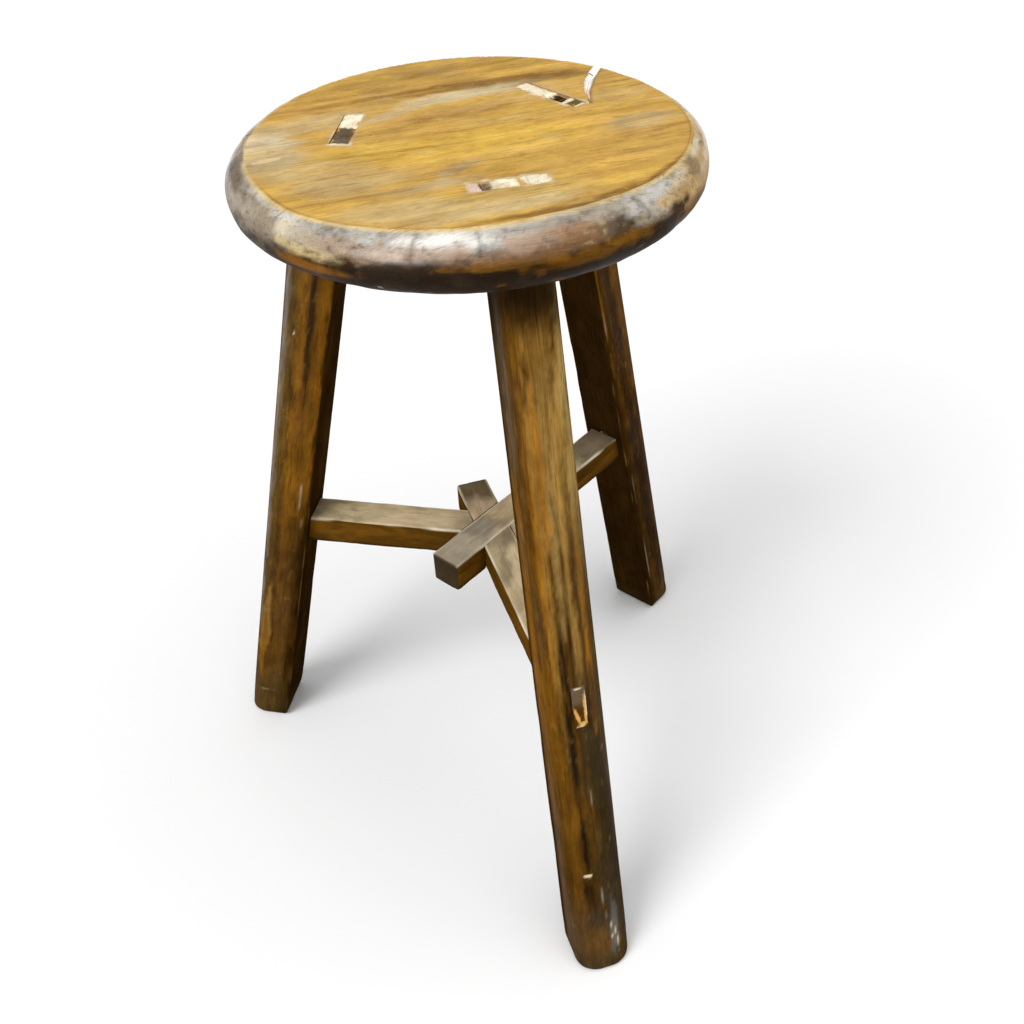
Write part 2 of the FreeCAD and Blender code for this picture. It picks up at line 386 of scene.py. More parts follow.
class Leg:
    """One leg's place and section, read from its CAD node."""

    OUTER_ROUND_FOOT = 17.0 * MM
    OUTER_ROUND_TOP = 15.5 * MM
    ARRIS = 1.3 * MM
    SOLE_BAND = 3.0 * MM

    def __init__(self, name):
        self.name = name
        out = SOLES["sole_" + name] - AXIS
        self.out = out / np.linalg.norm(out)
        self.side = np.array([-self.out[1], self.out[0], 0.0])
        points = cad_points("leg_" + name)
        radial, sideways = self.flat(points)
        self.low = points[points[:, 2] < self.SOLE_BAND][:, 2].max()
        foot = np.abs(points[:, 2] - self.low) < SAME_LEVEL
        top = np.abs(points[:, 2] - SEAT_UNDER) < SAME_LEVEL
        self.levels = (self.low, SEAT_UNDER)
        self.inner = (radial[foot].min(), radial[top].min())
        self.outer = (radial[foot].max(), radial[top].max())
        self.half = (np.ptp(sideways[foot]) / 2.0, np.ptp(sideways[top]) / 2.0)

    def flat(self, points):
        """Distance out from the seat's axis, and sideways from the leg's middle plane."""
        return (points - AXIS) @ self.out, (points - AXIS) @ self.side

    def at(self, z):
        """Inner face, outer face, half width and outer rounding at a level."""
        share = (z - self.levels[0]) / (self.levels[1] - self.levels[0])
        ends = (self.inner, self.outer, self.half, (self.OUTER_ROUND_FOOT, self.OUTER_ROUND_TOP))
        return [low + share * (high - low) for low, high in ends]

    def outline(self, z):
        """Closed outline at a level, as rows of distance out, distance sideways."""
        inner, outer, half, corner = self.at(z)
        arris = self.ARRIS
        bend = outer - corner
        turns = np.linspace(0.0, 90.0, 19)[:-1]
        right = [(outer, y) for y in np.linspace(0.0, half - corner, 4)[:-1]]
        right += [
            (bend + corner * math.cos(a), half - corner + corner * math.sin(a)) for a in np.radians(turns)
        ]
        right += [(x, half) for x in np.linspace(bend, inner + arris, 15)[:-1]]
        right += [
            (inner + arris - arris * math.sin(a), half - arris + arris * math.cos(a))
            for a in np.radians(np.linspace(0.0, 90.0, 6)[:-1])
        ]
        right += [(inner, y) for y in np.linspace(half - arris, 0.0, 15)[:-1]]
        left = [(x, -y) for x, y in right[1:]] + [(inner, 0.0)]
        return np.array(right + left[::-1])

    def around(self, points):
        """Distance round the section from the middle of the outer face; + is counter-clockwise."""
        radial, sideways = self.flat(points)
        inner, outer, half, corner = self.at(points[:, 2])
        away = np.abs(sideways)
        bend = outer - corner
        turn = np.arctan2(np.maximum(away - (half - corner), 0.0), np.maximum(radial - bend, 1e-9))
        round_part = np.minimum(away, half - corner) + corner * np.where(radial > bend, turn, math.pi / 2.0)
        side_part = np.maximum(bend - radial, 0.0)
        on_inner = (radial - inner < half - away) & (radial < bend)
        inner_part = np.where(on_inner, half - away, 0.0)
        return np.sign(sideways) * (round_part + side_part + inner_part)

    def arris_at(self, z):
        """Distance round the section to the inner arris."""
        inner, outer, half, corner = self.at(z)
        return half - corner + corner * math.pi / 2.0 + outer - corner - inner

    def place(self, radial, sideways, z):
        """Point from its distance out, distance sideways and level."""
        flat = np.outer(radial, self.out) + np.outer(sideways, self.side)
        return AXIS + flat + np.outer(np.broadcast_to(z, np.shape(radial)), (0.0, 0.0, 1.0))


LEGS = {name: Leg(name) for name in LEG_NAMES}


# ---------------------------------------------------------------- finishing a piece

SHARP_ANGLE = math.radians(32.0)


def finish_piece(piece, node, slot, paint, grain):
    """Stores a piece's attributes, gives it its material, hangs it on the body and hides its CAD node."""
    data = piece.data
    tone = np.column_stack([np.clip(paint.tone, 0.0, 1.0), np.clip(paint.bare, 0.0, 1.0)])
    data.attributes.new("tone", "FLOAT_COLOR", "POINT").data.foreach_set("color", tone.ravel())
    data.attributes.new("grain", "FLOAT_VECTOR", "POINT").data.foreach_set("vector", grain.ravel())
    data.attributes.new("gloss", "FLOAT", "POINT").data.foreach_set("value", paint.gloss)
    data.shade_smooth()
    data.set_sharp_from_angle(angle=SHARP_ANGLE)
    data.materials.clear()
    data.materials.append(MATERIALS[slot])
    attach(piece, BODY)
    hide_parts(node)


# ---------------------------------------------------------------- materials

def add(tree, kind, values, **settings):
    """Adds a node; values maps its inputs to numbers, colours or other nodes' outputs."""
    made = tree.nodes.new("ShaderNode" + kind)
    for name, setting in settings.items():
        setattr(made, name, setting)
    for key, value in values.items():
        if isinstance(value, bpy.types.NodeSocket):
            tree.links.new(value, made.inputs[key])
        else:
            made.inputs[key].default_value = value
    return made.outputs


def maths(tree, operation, first, second=0.0, clamp=False):
    """Arithmetic on two values."""
    return add(tree, "Math", {0: first, 1: second}, operation=operation, use_clamp=clamp)[0]


def chain(tree, operation, *values):
    """The same arithmetic over several values, from the first to the last."""
    total = values[0]
    for value in values[1:]:
        total = maths(tree, operation, total, value)
    return total


def swing(tree, value, strength):
    """How far a noise is from its middle, times a strength."""
    return maths(tree, "MULTIPLY", maths(tree, "SUBTRACT", value, 0.5), strength)


def spread(tree, value, low, high, to_low, to_high):
    """Maps one range of a value to another, smoothly and within its ends."""
    ends = {"Value": value, "From Min": low, "From Max": high, "To Min": to_low, "To Max": to_high}
    return add(tree, "MapRange", ends, interpolation_type="SMOOTHSTEP")["Result"]


def lighten(tree, value, amount):
    """Brightness about 1 that follows a noise, darker and lighter by an amount."""
    return spread(tree, value, 0.3, 0.7, 1.0 - amount, 1.0 + amount)


def grain_noise(tree, grain, stretch, detail, roughness=0.55):
    """Noise whose lumps have a size along and across the grain: stretch is lumps per metre, per axis."""
    scaled = add(tree, "VectorMath", {0: grain, 1: stretch}, operation="MULTIPLY")[0]
    settings = {"Vector": scaled, "Scale": 1.0, "Detail": detail, "Roughness": roughness}
    return add(tree, "TexNoise", settings)["Fac"]


def mixed(tree, share, first, second, blend="MIX"):
    """Mixes two colours, which are the node's inputs 6 and 7; its colour output is the third."""
    sockets = {0: share, 6: first, 7: second}
    return add(tree, "Mix", sockets, data_type="RGBA", blend_type=blend)[2]


BARE_WOOD = tuple(colour("dcc38f"))


def wood_material(name, look):
    """Wood under a worn finish. look holds the strengths that differ between the stool's woods."""
    material = bpy.data.materials.new(name)
    material.use_nodes = True
    tree = material.node_tree
    tree.nodes.clear()
    grain = add(tree, "Attribute", {}, attribute_name="grain")["Vector"]
    painted = add(tree, "Attribute", {}, attribute_name="tone")
    gloss = add(tree, "Attribute", {}, attribute_name="gloss")["Fac"]

    wave = grain_noise(tree, grain, (9.0, 22.0, 22.0), 2.0)
    shift = add(tree, "VectorMath", {0: (0.0, 0.012, 0.012), 3: wave}, operation="SCALE")[0]
    flow = add(tree, "VectorMath", {0: grain, 1: shift}, operation="ADD")[0]
    streaks = grain_noise(tree, flow, (6.0, 150.0, 150.0), 5.0, 0.6)
    patches = grain_noise(tree, grain, (14.0, 34.0, 34.0), 2.0)
    cracks = grain_noise(tree, flow, (22.0, 520.0, 520.0), 2.0, 0.5)
    bands = grain_noise(tree, flow, (2.5, 55.0, 55.0), 3.0, 0.5)
    fibres = grain_noise(tree, flow, (45.0, 1500.0, 1500.0), 3.0, 0.6)
    pores = grain_noise(tree, flow, (110.0, 1900.0, 1900.0), 1.0, 0.4)
    blotches = grain_noise(tree, grain, (38.0, 60.0, 60.0), 6.0, 0.62)
    flecks = grain_noise(tree, grain, (300.0, 520.0, 520.0), 5.0, 0.65)

    streaky = swing(tree, streaks, look["streak"] * 5.0)
    streaky = maths(tree, "MULTIPLY", streaky, spread(tree, patches, 0.35, 0.65, 0.35, 1.0))
    fibre_light = lighten(tree, fibres, look["fibre"])
    light = chain(
        tree, "MULTIPLY",
        maths(tree, "ADD", 1.0, streaky),
        lighten(tree, bands, look["band"]),
        fibre_light,
        lighten(tree, blotches, look["blotch"]),
        spread(tree, pores, 0.62, 0.72, 1.0, 1.0 - look["pore"]),
        spread(tree, cracks, 0.6, 0.68, 1.0, 1.0 - look["crack"]),
    )
    lit = add(tree, "VectorMath", {0: painted["Color"], 3: light}, operation="SCALE")[0]

    warm = spread(tree, light, 0.6, 1.05, look["warm"], 0.0)
    toned = mixed(tree, warm, lit, (1.0, 0.82, 0.5, 1.0), "MULTIPLY")

    edge = chain(tree, "ADD", painted["Alpha"], swing(tree, flecks, 1.3), swing(tree, fibres, 0.7))
    worn = spread(tree, edge, 0.5, 0.62, 0.0, 1.0)
    worn = maths(tree, "MULTIPLY", worn, spread(tree, painted["Alpha"], 0.02, 0.3, 0.0, 1.0))
    bare = add(tree, "VectorMath", {0: BARE_WOOD, 3: fibre_light}, operation="SCALE")[0]
    final = mixed(tree, worn, toned, bare)

    dull = spread(tree, blotches, 0.3, 0.7, look["rough"] - 0.09, look["rough"] + 0.11)
    dull = chain(tree, "ADD", dull, swing(tree, gloss, -0.5), maths(tree, "MULTIPLY", worn, 0.25))
    dull = maths(tree, "ADD", dull, swing(tree, flecks, 0.3), True)

    parts = ((streaks, 0.6), (fibres, 0.35), (flecks, 0.35), (worn, -0.5))
    relief = chain(tree, "ADD", *[maths(tree, "MULTIPLY", part, height) for part, height in parts])
    bump = add(tree, "Bump", {"Height": relief, "Distance": look["bump"] * MM, "Strength": 0.8})["Normal"]

    shader = add(tree, "BsdfPrincipled", {
        "Base Color": final,
        "Roughness": dull,
        "Normal": bump,
        "Specular IOR Level": look["shine"],
        "Coat Weight": spread(tree, gloss, 0.4, 0.9, 0.0, look["coat"]),
        "Coat Roughness": look["coat_rough"],
        "Coat IOR": 1.45,
    })["BSDF"]
    tree.links.new(shader, tree.nodes.new("ShaderNodeOutputMaterial").inputs["Surface"])
    return material


WOODS = {
    "seat_wood": {
        "streak": 0.12, "band": 0.08, "fibre": 0.12, "blotch": 0.13, "pore": 0.24, "crack": 0.2, "warm": 0.55,
        "rough": 0.4, "shine": 0.05, "coat": 0.55, "coat_rough": 0.2, "bump": 0.25,
    },
    "leg_wood": {
        "streak": 0.14, "band": 0.14, "fibre": 0.12, "blotch": 0.2, "pore": 0.26, "crack": 0.28, "warm": 0.3,
        "rough": 0.36, "shine": 0.0, "coat": 0.16, "coat_rough": 0.2, "bump": 0.35,
    },
    "stretcher_wood": {
        "streak": 0.08, "band": 0.1, "fibre": 0.08, "blotch": 0.14, "pore": 0.16, "crack": 0.14, "warm": 0.2,
        "rough": 0.46, "shine": 0.0, "coat": 0.14, "coat_rough": 0.25, "bump": 0.2,
    },
    "pale_wood": {
        "streak": 0.1, "band": 0.06, "fibre": 0.12, "blotch": 0.12, "pore": 0.25, "crack": 0.2, "warm": 0.1,
        "rough": 0.62, "shine": 0.15, "coat": 0.0, "coat_rough": 0.4, "bump": 0.3,
    },
}
MATERIALS = {slot: wood_material(slot, look) for slot, look in WOODS.items()}


# ---------------------------------------------------------------- seat

# The crease between the flat top and the rim, cut by hand: (bearing in degrees, radius).
CREASE = [
    (0, 130.0), (45, 128.0), (90, 127.0), (135, 128.0), (187, 128.0), (210, 130.5), (225, 127.5),
    (240, 123.5), (272, 118.5), (290, 121.5), (305, 126.5), (320, 130.0), (340, 132.5),
]
# Level of the rim's widest ring under the top, and radius of the underside.
RIM_NOSE = 19.0 * MM
LOWER_EDGE = 129.0 * MM
RIM_SLOPE = math.tan(math.radians(24.0))
# How far the worn top lies under the CAD one, and how much deeper its middle is.
TOP_GAP = 0.35 * MM
TOP_DISH = 0.55 * MM
# The band under the top in which the crease shows its worn edges.
UPPER_BAND = 6.0 * MM
SEAT_AROUND = 560

# Seat stains: (x, y, half length, half width, tilt, colour, strength), millimetres about the seat's axis.
SEAT_STAINS = [
    (-10, 108, 90, 16, 0, YELLOW, 0.25),
    (0, 96, 110, 24, 0, BROWN, 0.3),
    (-76, 74, 50, 10, -4, TAN, 0.5),
    (40, 70, 66, 7.0, -3, BROWN, 0.85),
    (62, 63, 46, 4.5, -4, UMBER, 0.45),
    (-24, 76, 40, 4.0, 3, BROWN, 0.4),
    (28, 104, 40, 4, 0, BROWN, 0.35),
    (104, 76, 22, 9, -30, TAN, 0.6),
    (-24, 49, 34, 5, 20, PALE_HAZE, 0.7),
    (18, 59, 42, 7, 4, PALE_HAZE, 0.95),
    (46, 56, 24, 6, -2, PALE_HAZE, 0.6),
    (0, 64, 18, 3, 4, CREAM, 0.3),
    (-8, 32, 52, 8, 4, TAN, 0.7),
    (20, 30, 46, 5, -3, BROWN, 0.32),
    (-40, 22, 30, 3, 4, BROWN, 0.3),
    (-4, -14, 66, 18, -3, YELLOW, 0.9),
    (-60, -2, 34, 10, -4, YELLOW, 0.7),
    (-52, -8, 44, 2.2, -5, BROWN, 0.45),
    (-66, -16, 24, 1.6, -4, BROWN, 0.35),
    (12, 6, 60, 2.0, -2, BROWN, 0.22),
    (62, 8, 40, 14, 0, HONEY, 0.4),
    (100, -42, 26, 9, -12, TAN, 0.7),
    (100, -24, 22, 10, 0, GREY_HAZE, 0.55),
    (106, 22, 20, 10, 0, PALE_HAZE, 0.35),
    (-17, -45, 16, 6, 26, GREY_HAZE, 0.5),
    (-26, -52, 9, 5, 60, BUFF, 0.5),
    (-40, -62, 26, 6, 4, GREY_HAZE, 0.5),
    (-70, -40, 30, 9, -8, BUFF, 0.5),
    (30, -50, 30, 8, 0, YELLOW, 0.35),
    (64, -64, 44, 3.5, 2, BROWN, 0.3),
    (50, -84, 46, 14, 4, YELLOW, 0.4),
    (56, -78, 40, 10, 4, TAN, 0.35),
    (-11, -86, 44, 12, 0, YELLOW, 0.65),
    (-16, -102, 50, 7, 2, BUFF, 0.6),
    (-14, -92, 54, 13, 2, PALE_HAZE, 0.4),
    (-60, -84, 34, 12, -6, BUFF, 0.6),
    (-88, -46, 24, 10, -12, GREY_HAZE, 0.4),
    (-82, -28, 24, 8, -10, TAN, 0.5),
    (-114, 20, 20, 34, 0, PALE_HAZE, 0.8),
    (-116, 32, 16, 16, 0, CREAM, 0.3),
    (-92, -18, 30, 16, -12, BUFF, 0.5),
    (-78, 52, 30, 12, 6, PALE_HAZE, 0.5),
    (10, -115, 40, 2.8, -2, BROWN, 0.85),
    (52, -108, 34, 3.2, 16, BROWN, 0.85),
    (84, -94, 22, 2.6, 36, BROWN, 0.75),
]
# Bright flecks where the finish is chipped to bare wood: (x, y, half length, half width, tilt).
SEAT_FLECKS = [(-115.5, 7, 7.5, 1.8, 6), (-110, 8, 3, 1.2, 20), (-121, 6, 2.5, 1.2, 0)]

# Rim stains and painted highlights: (bearing, way down from the crease, half angle, half way, colour,
# strength). The way down is 0 at the crease, 1 at the nose and 2 at the underside. The pearl, silver and
# chalk rows are pale worn finish with a painted highlight on it.
RIM_STAINS_AND_HIGHLIGHTS = [
    (184, 0.45, 22, 0.6, STONE, 0.85),
    (176, 0.32, 11, 0.3, GREY_BROWN, 0.85),
    (193, 0.3, 6, 0.2, GREY_BROWN, 0.5),
    (203, 0.55, 9, 0.5, STONE, 0.85),
    (201, 0.75, 8, 0.2, GREY_BROWN, 0.5),
    (196, 0.05, 16, 0.1, PEARL, 0.6),
    (208, 0.14, 5, 0.16, PEARL, 0.95),
    (212, 0.45, 5, 0.26, CREAM, 0.6),
    (213, 0.7, 6, 0.16, BUFF, 0.8),
    (219, 0.42, 9, 0.36, STONE, 0.8),
    (221, 0.76, 7, 0.14, BUFF, 0.7),
    (232, 0.4, 11, 0.34, ROSY, 0.7),
    (231, 0.14, 14, 0.16, SILVER, 0.9),
    # Painted highlight: the bright glossy band across the front of the rim, over pale worn finish.
    (250, 0.19, 16, 0.3, PEARL, 1.0),
    (250, 0.2, 10, 0.14, CHALK, 0.45),
    (247, 0.42, 11, 0.16, ROSY, 0.75),
    (264, 0.54, 15, 0.18, AMBER, 0.7),
    (272, 0.24, 11, 0.22, ROSY, 0.85),
    (270, 0.08, 14, 0.1, SILVER, 0.7),
    (280, 0.4, 9, 0.24, ORANGE, 0.6),
    (291, 0.48, 8, 0.26, DARK_OLIVE, 0.7),
    (291, 0.1, 12, 0.16, STONE, 0.8),
    (303, 0.26, 9, 0.28, PEARL, 0.85),
    (301, 0.55, 6, 0.18, STONE, 0.8),
    (311, 0.5, 7, 0.26, PALE_TAN, 0.8),
    (314, 0.2, 5, 0.2, CREAM, 0.55),
    (327, 0.6, 15, 0.7, PALE_TAN, 0.95),
    (321, 0.3, 3, 0.22, GREY_BROWN, 0.5),
    (335, 0.12, 11, 0.14, CREAM, 0.9),
    (346, 0.6, 16, 0.8, PALE_TAN, 0.95),
    (5, 0.4, 20, 0.9, BUFF, 0.8),
]
# Rim stains that show through the dark lower part as well.
LOWER_RIM_STAINS = [
    (219, 1.08, 10, 0.16, ORANGE, 0.9),
    (282, 0.85, 14, 0.16, AMBER, 0.7),
    (262, 0.7, 14, 0.1, AMBER, 0.55),
    (322, 1.1, 14, 0.2, AMBER, 0.6),
]
# Where down the rim its dark lower part starts: (bearing, way down).
RIM_DARK_FROM = [
    (5, 1.35), (40, 1.2), (90, 1.0), (135, 0.9), (180, 0.85), (212, 0.9), (225, 0.8), (240, 0.62),
    (255, 0.62), (270, 0.6), (285, 0.7), (300, 0.82), (315, 1.0), (330, 1.15), (345, 1.3),
]
# Thin dark cracks down the rim: (bearing, from, to).
RIM_CRACKS = [(242, 0.0, 0.5), (257, 0.0, 0.5), (297, 0.1, 0.6)]

# The open split: points from the right-hand mortise out past the rim, as (x, y, width) in millimetres.
SPLIT_LINE = [
    (83.2, 12.5, 1.0), (88.5, 33.0, 4.2), (98.0, 52.5, 6.4), (107.5, 65.0, 4.6), (119.0, 78.0, 5.0),
]
SPLIT_ROUGHNESS = 0.45 * MM
HAIRLINE = 0.12 * MM
# How much wider the split's left wall is below the top: (distance along the split, share of the depth).
SPLIT_CHIPPED = [(24.0, 0.0), (36.0, 0.16), (46.0, 0.42), (58.0, 0.95), (70.0, 1.1)]
SPLIT_CHIP_REACH = 13 * MM
# Along the split, where its filled inner part turns into the open outer part.
SPLIT_FILLED_TO = (51 * MM, 53 * MM)
# How deep the open channel over the filled part is.
CHANNEL_DEPTH = (1.4 * MM, 2.4 * MM)


def crease_radius(bearing):
    """Radius of the crease at bearings in degrees."""
    ring = np.arange(360.0)
    known = np.array(CREASE)
    raw = np.interp(ring, known[:, 0], known[:, 1], period=360.0)
    window = np.hanning(23)
    spread_out = np.concatenate([raw[-11:], raw, raw[:11]])
    eased = np.convolve(spread_out, window / window.sum(), mode="valid")
    return np.interp(bearing, ring, eased, period=360.0) * MM


def rim_profile(crease, share):
    """Radius and drop at a share of the way down: 0 at the crease, 1 at the nose, 2 at the underside."""
    upper = np.clip(share, 0.0, 1.0)
    control = RIM_SLOPE * (SEAT_RADIUS - crease)
    radius = (1 - upper) ** 2 * crease + (2 * upper * (1 - upper) + upper ** 2) * SEAT_RADIUS
    drop = 2 * upper * (1 - upper) * control + upper ** 2 * RIM_NOSE
    turn = np.clip(share - 1.0, 0.0, 1.0) * math.pi / 2.0
    radius = radius - (SEAT_RADIUS - LOWER_EDGE) * (1.0 - np.cos(turn))
    drop = drop + (SEAT_TOP - SEAT_UNDER - RIM_NOSE) * np.sin(turn)
    return radius, drop


def split_cutter():
    """Upright sliver with torn walls, open at the rim, whose left wall is chipped away below the top."""
    known = np.array(SPLIT_LINE) * MM
    travel = np.concatenate([[0.0], np.cumsum(np.linalg.norm(np.diff(known[:, :2], axis=0), axis=1))])
    fine = np.linspace(0.0, travel[-1], 70)
    x, y, width = (np.interp(fine, travel, known[:, column]) for column in range(3))
    run = np.stack([np.gradient(x), np.gradient(y)], axis=1)
    run /= np.linalg.norm(run, axis=1, keepdims=True)
    side = np.stack([-run[:, 1], run[:, 0]], axis=1)
    levels = np.concatenate([
        np.linspace(SEAT_UNDER - CUT_PAST, SEAT_TOP - 6 * MM, 15),
        np.linspace(SEAT_TOP - 5 * MM, SEAT_TOP + CUT_PAST, 15),
    ])
    chip_share = np.interp(fine / MM, *np.array(SPLIT_CHIPPED).T)
    layers = []
    for level in levels:
        drop = max(SEAT_TOP - level, 0.0)
        reach_back = min(drop, SPLIT_CHIP_REACH) * (1.0 - 0.6 * step(drop, 14 * MM, 30 * MM))
        filled = (1.0 - step(fine, *SPLIT_FILLED_TO)) * step(drop, *CHANNEL_DEPTH)
        chipped = chip_share * reach_back
        walls = []
        for seed, sign in enumerate((1.0, -1.0)):
            spots = np.stack([fine, np.full_like(fine, level), np.full_like(fine, seed * 0.3)], axis=1)
            torn = fractal(spots, (5, 9, 1000), 4, seed + 3) * SPLIT_ROUGHNESS
            open_width = (width / 2.0 + torn + (chipped if sign > 0.0 else 0.0)) * (1.0 - filled)
            reach = sign * np.maximum(open_width, HAIRLINE)
            walls.append(np.stack([x, y], axis=1) + side * reach[:, None])
        outline = np.vstack([walls[0][::-1], walls[1]])
        layers.append(np.column_stack([outline + AXIS[:2], np.full(len(outline), level)]))
    count = len(fine)
    points = np.vstack(layers)
    faces = []
    around = 2 * count
    for layer in range(len(levels) - 1):
        for i in range(around):
            a, b = layer * around + i, layer * around + (i + 1) % around
            faces.append((a, b, b + around, a + around))
    top = (len(levels) - 1) * around
    for i in range(count - 1):
        low = (i, around - 1 - i, around - 2 - i, i + 1)
        faces += [low, tuple(top + corner for corner in low[::-1])]
    return add_object("split_cutter", points, faces)


def joint_corners(name):
    """Corners of the mortise of one leg, and of the tenon and the two wedges in it."""
    leg = LEGS[name]
    nodes = [node for node in frame["nodes"] if node.startswith("seat_wedge_" + name)]
    nodes.sort(key=lambda node: (cad_points(node).mean(axis=0) - AXIS) @ leg.side)
    along = lengthwise(cad_points(*nodes))
    if along @ leg.side < 0.0:
        along = -along
    first, second = (block_corners(cad_points(node), along) for node in nodes)
    mortise = np.stack([first[0], second[1]])
    tenon = np.stack([first[1], second[0]])
    return {"mortise": mortise, "tenon": tenon, nodes[0]: first, nodes[1]: second}


JOINTS = {name: joint_corners(name) for name in LEG_NAMES}


def seat_rings():
    """Rings from the middle of the underside, round the rim, to the middle of the top."""
    bearing = np.arange(SEAT_AROUND) * 360.0 / SEAT_AROUND
    angle = np.radians(bearing)
    crease = crease_radius(bearing)
    rings = [
        (np.full(SEAT_AROUND, share * LOWER_EDGE), np.full(SEAT_AROUND, SEAT_UNDER))
        for share in np.linspace(0.02, 1.0, 36)[:-1]
    ]
    for share in np.concatenate([np.linspace(2.0, 1.0, 13), np.linspace(1.0, 0.0, 26)[1:]]):
        radius, drop = rim_profile(crease, share)
        rings.append((radius, SEAT_TOP - drop))
    inward = np.concatenate([[0.4, 0.9, 1.5, 2.2, 3.0, 4.0], np.arange(5.4, 116.0, 1.5)]) * MM
    for distance in inward:
        radius = crease * (1.0 - distance / (118.5 * MM))
        rings.append((radius, np.full(SEAT_AROUND, SEAT_TOP)))
    rows = []
    for radius, level in rings:
        rows.append(np.stack([radius * np.cos(angle), radius * np.sin(angle), level], axis=1) + AXIS)
    return np.array(rows)


def seat_frame(points):
    """Place on the seat about its axis: x, y, radius, bearing in degrees, distance inside the crease.

    The distances are in millimetres.
    """
    x, y = (points[:, axis] - AXIS[axis] for axis in (0, 1))
    radius = np.hypot(x, y)
    bearing = np.degrees(np.arctan2(y, x)) % 360.0
    return x / MM, y / MM, radius / MM, bearing, (crease_radius(bearing) - radius) / MM


def rim_way(points):
    """Way down the rim, 0 at the crease to 2 at the underside, and distance from the rim in millimetres."""
    bearing = seat_frame(points)[3]
    radius, drop = rim_profile(crease_radius(bearing)[:, None], np.linspace(0.0, 2.0, 81)[None, :])
    level = SEAT_TOP - points[:, 2]
    out = np.hypot(points[:, 0] - AXIS[0], points[:, 1] - AXIS[1])
    gap = (radius - out[:, None]) ** 2 + (drop - level[:, None]) ** 2
    return np.argmin(gap, axis=1) / 40.0, np.sqrt(np.min(gap, axis=1)) / MM


def wear_seat(seat):
    """Dents, dish and worn crease, pressed into the seat's surface."""
    points = mesh_points(seat)
    radius, bearing, inside = seat_frame(points)[2:]
    on_top = step(inside, -0.6, 0.6) * (points[:, 2] > SEAT_TOP - 1 * MM)
    on_rim = (inside <= 0.0) & (points[:, 2] > SEAT_UNDER + 0.5 * MM)
    depth = np.full(len(points), TOP_GAP)
    depth += on_top * TOP_DISH * (1.0 - (radius / 132.0) ** 2)
    depth += on_top * 0.14 * MM * (1.0 + noise(points, (55, 40, 40), 1))
    depth += on_top * 0.05 * MM * (1.0 + noise(points, (40, 2.6, 9), 2))
    depth += on_top * 0.35 * MM * step(fractal(points, 9, 3, 3), 0.75, 1.3)
    groove = step(inside, 1.0, 2.2) * (1.0 - step(inside, 2.6, 4.2))
    groove = groove * spot(bearing, bearing * 0, (272, 0), (34, 1))
    depth += on_top * 0.3 * MM * groove
    rough = fractal(points, 26, 4, 5)
    depth += on_rim * (0.35 * MM + 0.4 * MM * rough)
    depth += on_rim * 0.9 * MM * step(fractal(points, (16, 16, 9), 4, 6), 0.7, 1.5)
    depth += (np.abs(inside) < 1.6) * 0.35 * MM * step(fractal(points, 7, 3, 8), 0.1, 1.0)
    under = points[:, 2] < SEAT_UNDER + 0.5 * MM
    depth += under * 0.25 * MM * (noise(points, (22, 6, 10), 9) - 1.0)
    press_in(seat, np.maximum(depth, 0.0))


